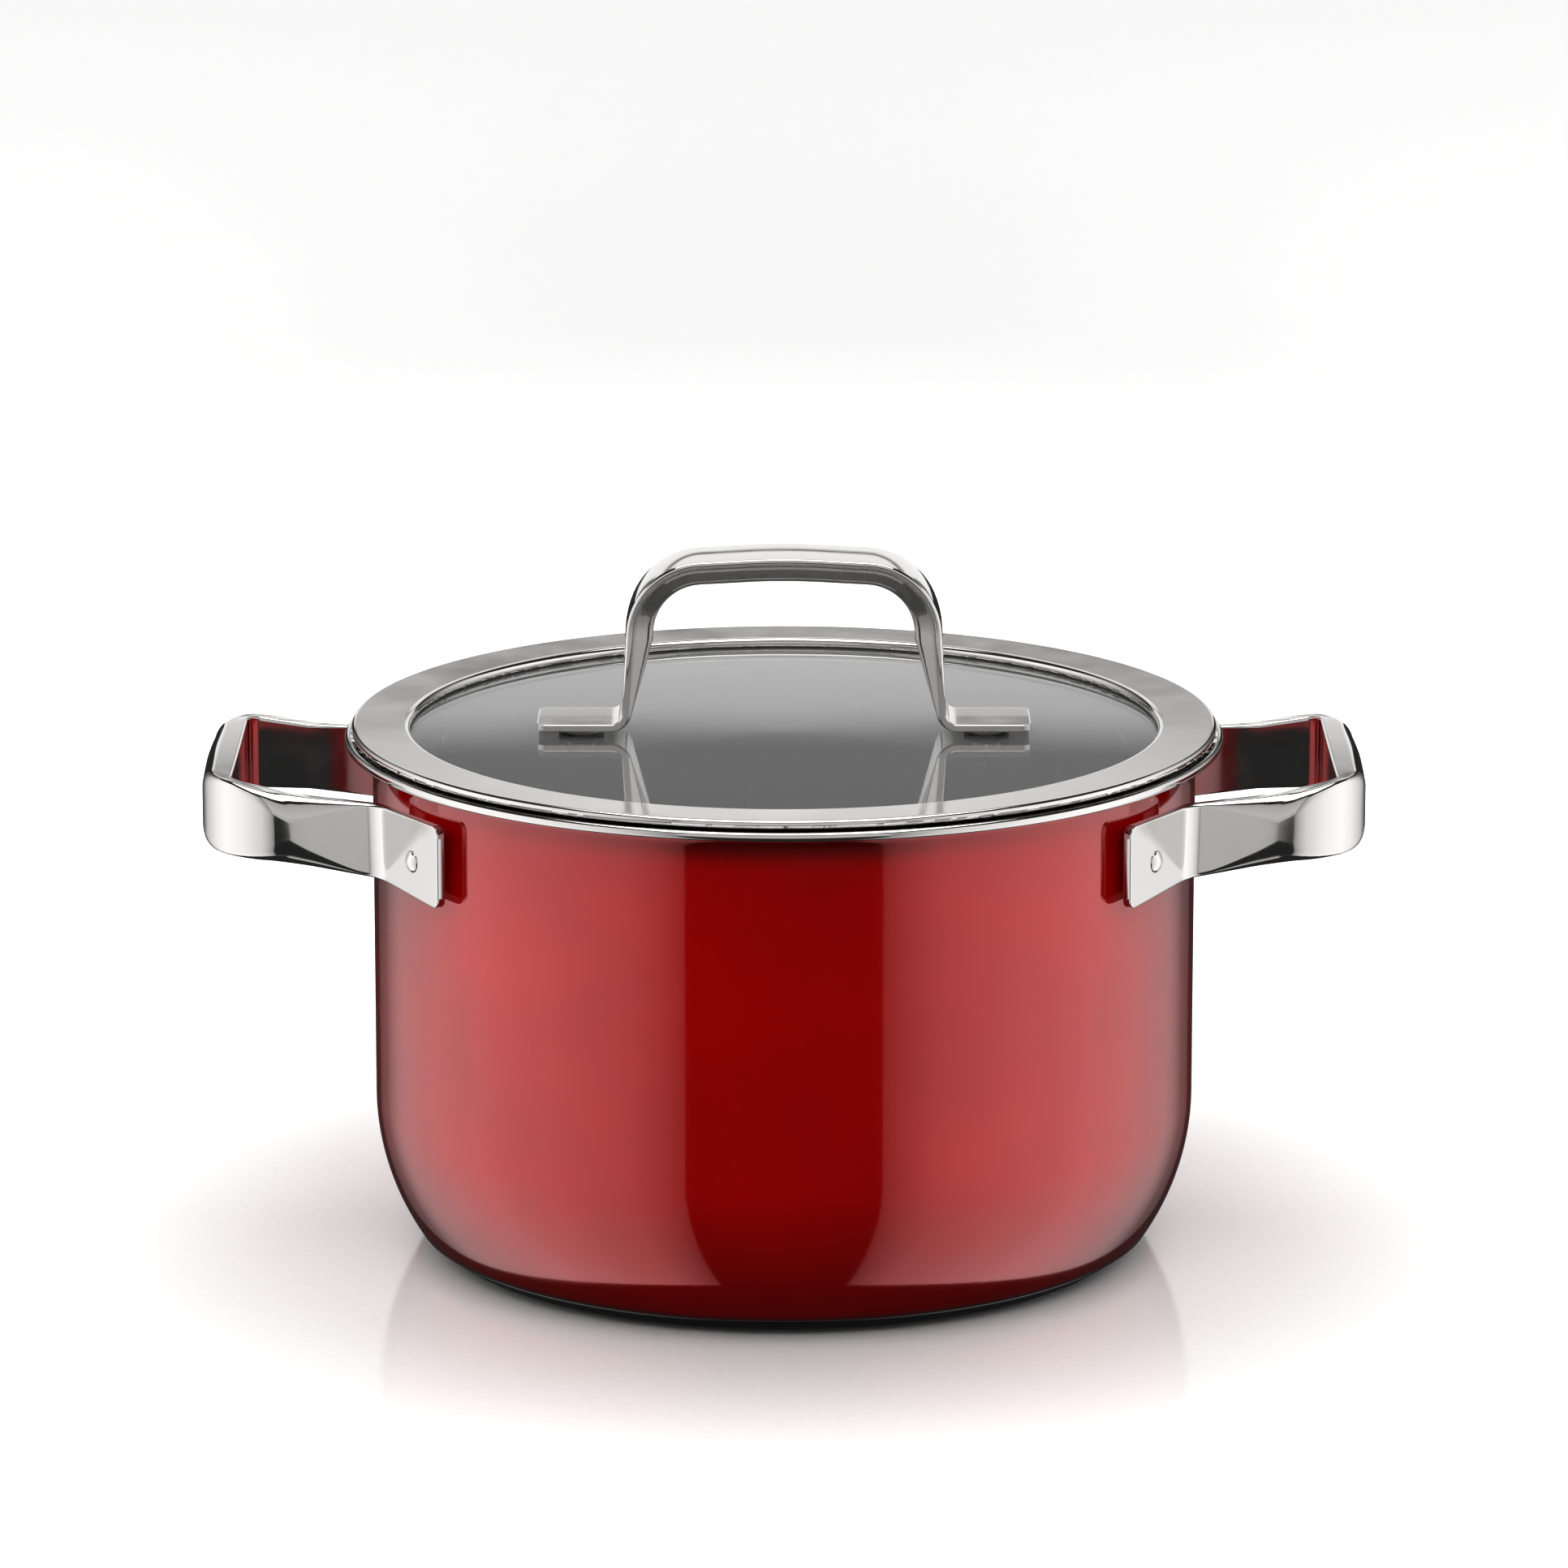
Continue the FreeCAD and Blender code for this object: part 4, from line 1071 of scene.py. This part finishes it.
class POT_OT_fastenings(bpy.types.Operator):
    """Studs, grommets, washers and domed nuts that hold the lid's handle"""
    bl_idname = "stock_pot.fastenings"
    bl_label = "Lid fasteners"

    def execute(self, context):
        lid = context.scene.pot_lid
        foot_low = context.scene.pot_strap.foot_low
        x = context.scene.pot_strap.foot_x - 13 * MM      # each stud from the middle of the lid
        places = [((side * x, 0.0, 0.0), (0.0, 0.0, 0.0)) for side in (-1, 1)]
        satin, rubber = satin_steel(), silicone()
        stud_r, sleeve_r, flange_r = 2.5 * MM, 4.1 * MM, 6.75 * MM
        stud_low = lowest("lid_handle_studs", 2)
        # M5 thread of 0.8 mm pitch, drawn as ridges
        pitch, thread_depth, chamfer = 0.8 * MM, 0.35 * MM, 0.5 * MM
        thread = [Vector((0, stud_low)), Vector((stud_r - chamfer, stud_low))]
        z, k = stud_low + pitch / 2, 0
        while z < foot_low - 0.3 * MM:
            thread.append(Vector((stud_r - (thread_depth if k % 2 else 0.0), z)))
            z, k = z + pitch / 2, k + 1
        thread += [Vector((stud_r, foot_low)), Vector((0, foot_low))]
        mesh = fastened("studs", turned("stud", thread, satin, closed=False, segments=32),
                        places, satin)
        settle("studs", mesh, "lid", "satin_steel", "lid_handle_studs")

        bore = stud_r + 0.05 * MM
        points = outline([(bore, lid.glass_low, 0.1 * MM), (sleeve_r, lid.glass_low, 0.1 * MM),
                          (sleeve_r, lid.glass_top, 0.05 * MM), (flange_r, lid.glass_top, 0.3 * MM),
                          (flange_r, foot_low, 0.3 * MM), (bore, foot_low, 0.1 * MM)])
        clear = clear_silicone()
        mesh = fastened("grommets", turned("grommet", points, clear, segments=64), places, clear)
        settle("grommets", mesh, "lid", "clear_silicone", "stud_grommets")

        for name, node, edge, low, top, material, slot in (
                ("soft_washers", "lower_washers", flange_r, lowest("lower_washers", 2), lid.glass_low,
                 rubber, "black_silicone"),
                ("washers", "nut_washers", 5 * MM, lowest("nut_washers", 2), lowest("lower_washers", 2),
                 satin, "satin_steel")):
            points = outline([(bore, low, 0.1 * MM), (edge, low, 0.2 * MM), (edge, top, 0.2 * MM),
                              (bore, top, 0.1 * MM)])
            mesh = fastened(name, turned(name + "_one", points, material, segments=64),
                            places, material)
            settle(name, mesh, "lid", slot, node)

        low, top, hexagon_h, across = lowest("cap_nuts", 2), highest("cap_nuts", 2), 4 * MM, 8 * MM
        mesh = fastened("nuts", cap_nut_mesh(low, top - hexagon_h, top, across), places, satin)
        settle("nuts", mesh, "lid", "satin_steel", "cap_nuts")
        return {"FINISHED"}


# ---- stage -------------------------------------------------------------------------------
def curved_card(name, glow, low, low_end, high, start, end, reflected):
    """An upright light card bent round the Z axis, either seen in reflections or only giving
    light. Angles run from the camera's side; its lower edge climbs from low to low_end."""
    start, end = math.radians(start), math.radians(end)
    steps = 48
    mesh = bpy.data.meshes.new(name)
    points, faces = [], []
    for k in range(steps + 1):
        a = start + (end - start) * k / steps
        for z in (low + (low_end - low) * (k / steps) ** 2, high):
            points.append((CARD_R * math.sin(a), -CARD_R * math.cos(a), z))
    for k in range(steps):
        faces.append((2 * k, 2 * k + 1, 2 * k + 3, 2 * k + 2))
    mesh.from_pydata(points, [], faces)
    mesh.materials.append(glow)
    card = bpy.data.objects.new(name, mesh)
    bpy.context.scene.collection.objects.link(card)
    card.visible_camera = False
    card.visible_diffuse = not reflected
    card.visible_glossy = reflected


def card_light(name, glow, stops, upright):
    """Emission that changes along a card, by height or by angle from the front.
    Each stop is (place, share of the glow), the place in metres or radians."""
    material = bpy.data.materials.get(name) or bpy.data.materials.new(name)
    material.use_nodes = True
    tree = material.node_tree
    tree.nodes.clear()
    where = tree.nodes.new("ShaderNodeTexCoord").outputs["Object"]
    parts = add(tree, "ShaderNodeSeparateXYZ", {0: where})
    measure = parts.outputs["Z"]
    if not upright:
        away = add(tree, "ShaderNodeMath", {"operation": "MULTIPLY", 0: parts.outputs["Y"], 1: -1.0})
        side = add(tree, "ShaderNodeMath", {"operation": "ABSOLUTE", 0: parts.outputs["X"]})
        turn = add(tree, "ShaderNodeMath", {"operation": "ARCTAN2", 0: side.outputs[0],
                                            1: away.outputs[0]})
        measure = turn.outputs[0]
    first, last = stops[0][0], stops[-1][0]
    along = add(tree, "ShaderNodeMapRange", {"Value": measure, "From Min": first, "From Max": last})
    fade = add(tree, "ShaderNodeValToRGB", {"Fac": along.outputs[0], "stops": [
        ((at - first) / (last - first), (share, share, share, 1.0)) for at, share in stops]})
    level = add(tree, "ShaderNodeMath", {"operation": "MULTIPLY", 0: fade.outputs[0], 1: glow})
    light = add(tree, "ShaderNodeEmission", {"Strength": level.outputs[0]})
    add(tree, "ShaderNodeOutputMaterial", {"Surface": light.outputs[0]})
    return material


def lay_floor(scene):
    """A pale seamless floor, 16 m across."""
    half = 8.0
    mesh = bpy.data.meshes.new("floor")
    mesh.from_pydata([(-half, -half, 0), (half, -half, 0), (half, half, 0), (-half, half, 0)], [],
                     [(0, 1, 2, 3)])
    floor = bpy.data.objects.new("floor", mesh)
    scene.collection.objects.link(floor)
    floor.visible_glossy = False      # the cards reach below it in reflections
    mesh.materials.append(floor_paper())


def stand_cards(s):
    """The cards that give the studio light, seven of them round the pot."""
    # the side softboxes are brightest straight to the sides of the pot
    sides = [(math.radians(degrees), share) for degrees, share in (
        (26, 0.2), (32, 0.38), (42, 0.62), (66, 0.88), (90, 1.0), (107, 0.85), (130, 0.5),
        (144, 0.12), (154, 0.05))]
    side_glow = card_light("side_softbox", s.side_glow, sides, upright=False)
    # what the sides give the pot gathers towards its back
    side_light = card_light("side_light", s.side_light,
                            [(turn, 2.7 * math.sin(turn / 2) ** 3) for turn, _ in sides],
                            upright=False)
    # front fill above the lens line, for the upright steel faces
    fill = card_light("front_fill", s.front_glow, ((-0.1, 0.8), (0.1, 1.0), (1.2, 0.7)), upright=True)
    # high front light that brings up the enamel without showing in it
    front_light = card_light("front_light", s.front_light, ((0.8, 1.0), (1.5, 1.0)), upright=True)
    # card behind the pot: bright low down, a dark band, bright again above
    back = card_light("back_card", s.back_glow, (
        (0.1, 0.85), (0.4, 0.85), (0.426, 0.66), (0.444, 0.16), (0.475, 0.13), (0.49, 0.9),
        (1.4, 0.7)), upright=True)
    # name, light, lower edge at its start and at its end, upper edge, from and to, reflected
    for card in (("softbox_right", side_glow, -1.95, -0.5, 0.9, 26, 154, True),
                 ("side_light_right", side_light, 0.3, 0.3, 1.0, 26, 154, False),
                 ("softbox_left", side_glow, -1.95, -0.5, 0.9, -26, -154, True),
                 ("side_light_left", side_light, 0.3, 0.3, 1.0, -26, -154, False),
                 ("card_front", fill, -0.1, -0.1, 1.2, -26, 26, True),
                 ("front_light", front_light, 0.8, 0.8, 1.5, -45, 45, False),
                 ("card_back", back, 0.1, 0.1, 1.4, 162, 198, True)):
        curved_card(*card)


def hang_softbox(scene, s):
    """The overhead softbox, 2 m square and a little towards the camera."""
    light = bpy.data.lights.new("softbox_top", "AREA")
    light.shape = "SQUARE"
    light.size = 2.0
    light.energy = s.top_power
    lamp = bpy.data.objects.new("softbox_top", light)
    lamp.location = (0.0, -0.2, 2.2)
    scene.collection.objects.link(lamp)


def whiten_background(scene):
    """White behind the pot, quiet in reflections."""
    world = scene.world or bpy.data.worlds.new("studio")
    scene.world = world
    world.use_nodes = True
    tree = world.node_tree
    tree.nodes.clear()
    path = tree.nodes.new("ShaderNodeLightPath").outputs
    ambient = add(tree, "ShaderNodeMapRange", {"Value": path["Is Glossy Ray"], "To Min": 0.15,
                                               "To Max": 0.03})
    seen = add(tree, "ShaderNodeMath", {"operation": "MAXIMUM", 0: ambient.outputs[0],
                                        1: path["Is Camera Ray"]})
    sky = add(tree, "ShaderNodeBackground", {"Strength": seen.outputs[0]})
    add(tree, "ShaderNodeOutputWorld", {"Surface": sky.outputs[0]})


def place_camera(scene, s):
    """A long lens in front of the pot, looking down at it."""
    data = bpy.data.cameras.new("camera")
    data.sensor_width = 36.0
    data.lens = s.lens
    data.clip_end = 100.0
    camera = bpy.data.objects.new("camera", data)
    camera.location = (0.0, -s.distance, s.height)
    camera.rotation_euler = (math.pi / 2 - s.tilt, 0.0, 0.0)
    scene.collection.objects.link(camera)
    scene.camera = camera


class POT_OT_stage(bpy.types.Operator):
    """Pale floor, soft studio lights and the camera"""
    bl_idname = "stock_pot.stage"
    bl_label = "Stage"

    def execute(self, context):
        scene, s = context.scene, context.scene.pot_stage
        scene.view_settings.view_transform = "Standard"
        lay_floor(scene)
        stand_cards(s)
        hang_softbox(scene, s)
        whiten_background(scene)
        place_camera(scene, s)
        return {"FINISHED"}


# ---- panel and registration --------------------------------------------------------------
BUILDERS = (POT_OT_shell, POT_OT_base, POT_OT_rim, POT_OT_handles, POT_OT_rivets, POT_OT_seal,
            POT_OT_ring, POT_OT_glass, POT_OT_strap, POT_OT_fastenings, POT_OT_stage)
GROUPS = (("pot_sizes", PotSizes), ("pot_lid", LidSizes), ("pot_strap", StrapSizes),
          ("pot_handles", HandleSizes), ("pot_finishes", Finishes), ("pot_stage", StageSetup))


class POT_PT_panel(bpy.types.Panel):
    """Sizes, colours and build steps of the stock pot"""
    bl_idname = "POT_PT_panel"
    bl_label = "Stock Pot"
    bl_space_type = "VIEW_3D"
    bl_region_type = "UI"
    bl_category = "Stock Pot"

    def draw(self, context):
        for builder in BUILDERS:
            self.layout.operator(builder.bl_idname)
        for name, group in GROUPS:
            box = self.layout.box()
            box.label(text=group.__doc__)
            for prop in group.__annotations__:
                box.prop(getattr(context.scene, name), prop)


CLASSES = tuple(group for _, group in GROUPS) + BUILDERS + (POT_PT_panel,)


def register():
    for cls in CLASSES:
        bpy.utils.register_class(cls)
    for name, group in GROUPS:
        setattr(bpy.types.Scene, name, PointerProperty(type=group))


def unregister():
    for name, _ in GROUPS:
        delattr(bpy.types.Scene, name)
    for cls in reversed(CLASSES):
        bpy.utils.unregister_class(cls)


def main():
    register()
    bpy.ops.stock_pot.shell()
    bpy.ops.stock_pot.base()
    bpy.ops.stock_pot.rim()
    bpy.ops.stock_pot.handles()
    bpy.ops.stock_pot.rivets()
    bpy.ops.stock_pot.seal()
    bpy.ops.stock_pot.ring()
    bpy.ops.stock_pot.glass()
    bpy.ops.stock_pot.strap()
    bpy.ops.stock_pot.fastenings()
    bpy.ops.stock_pot.stage()


if __name__ == "__main__":
    main()
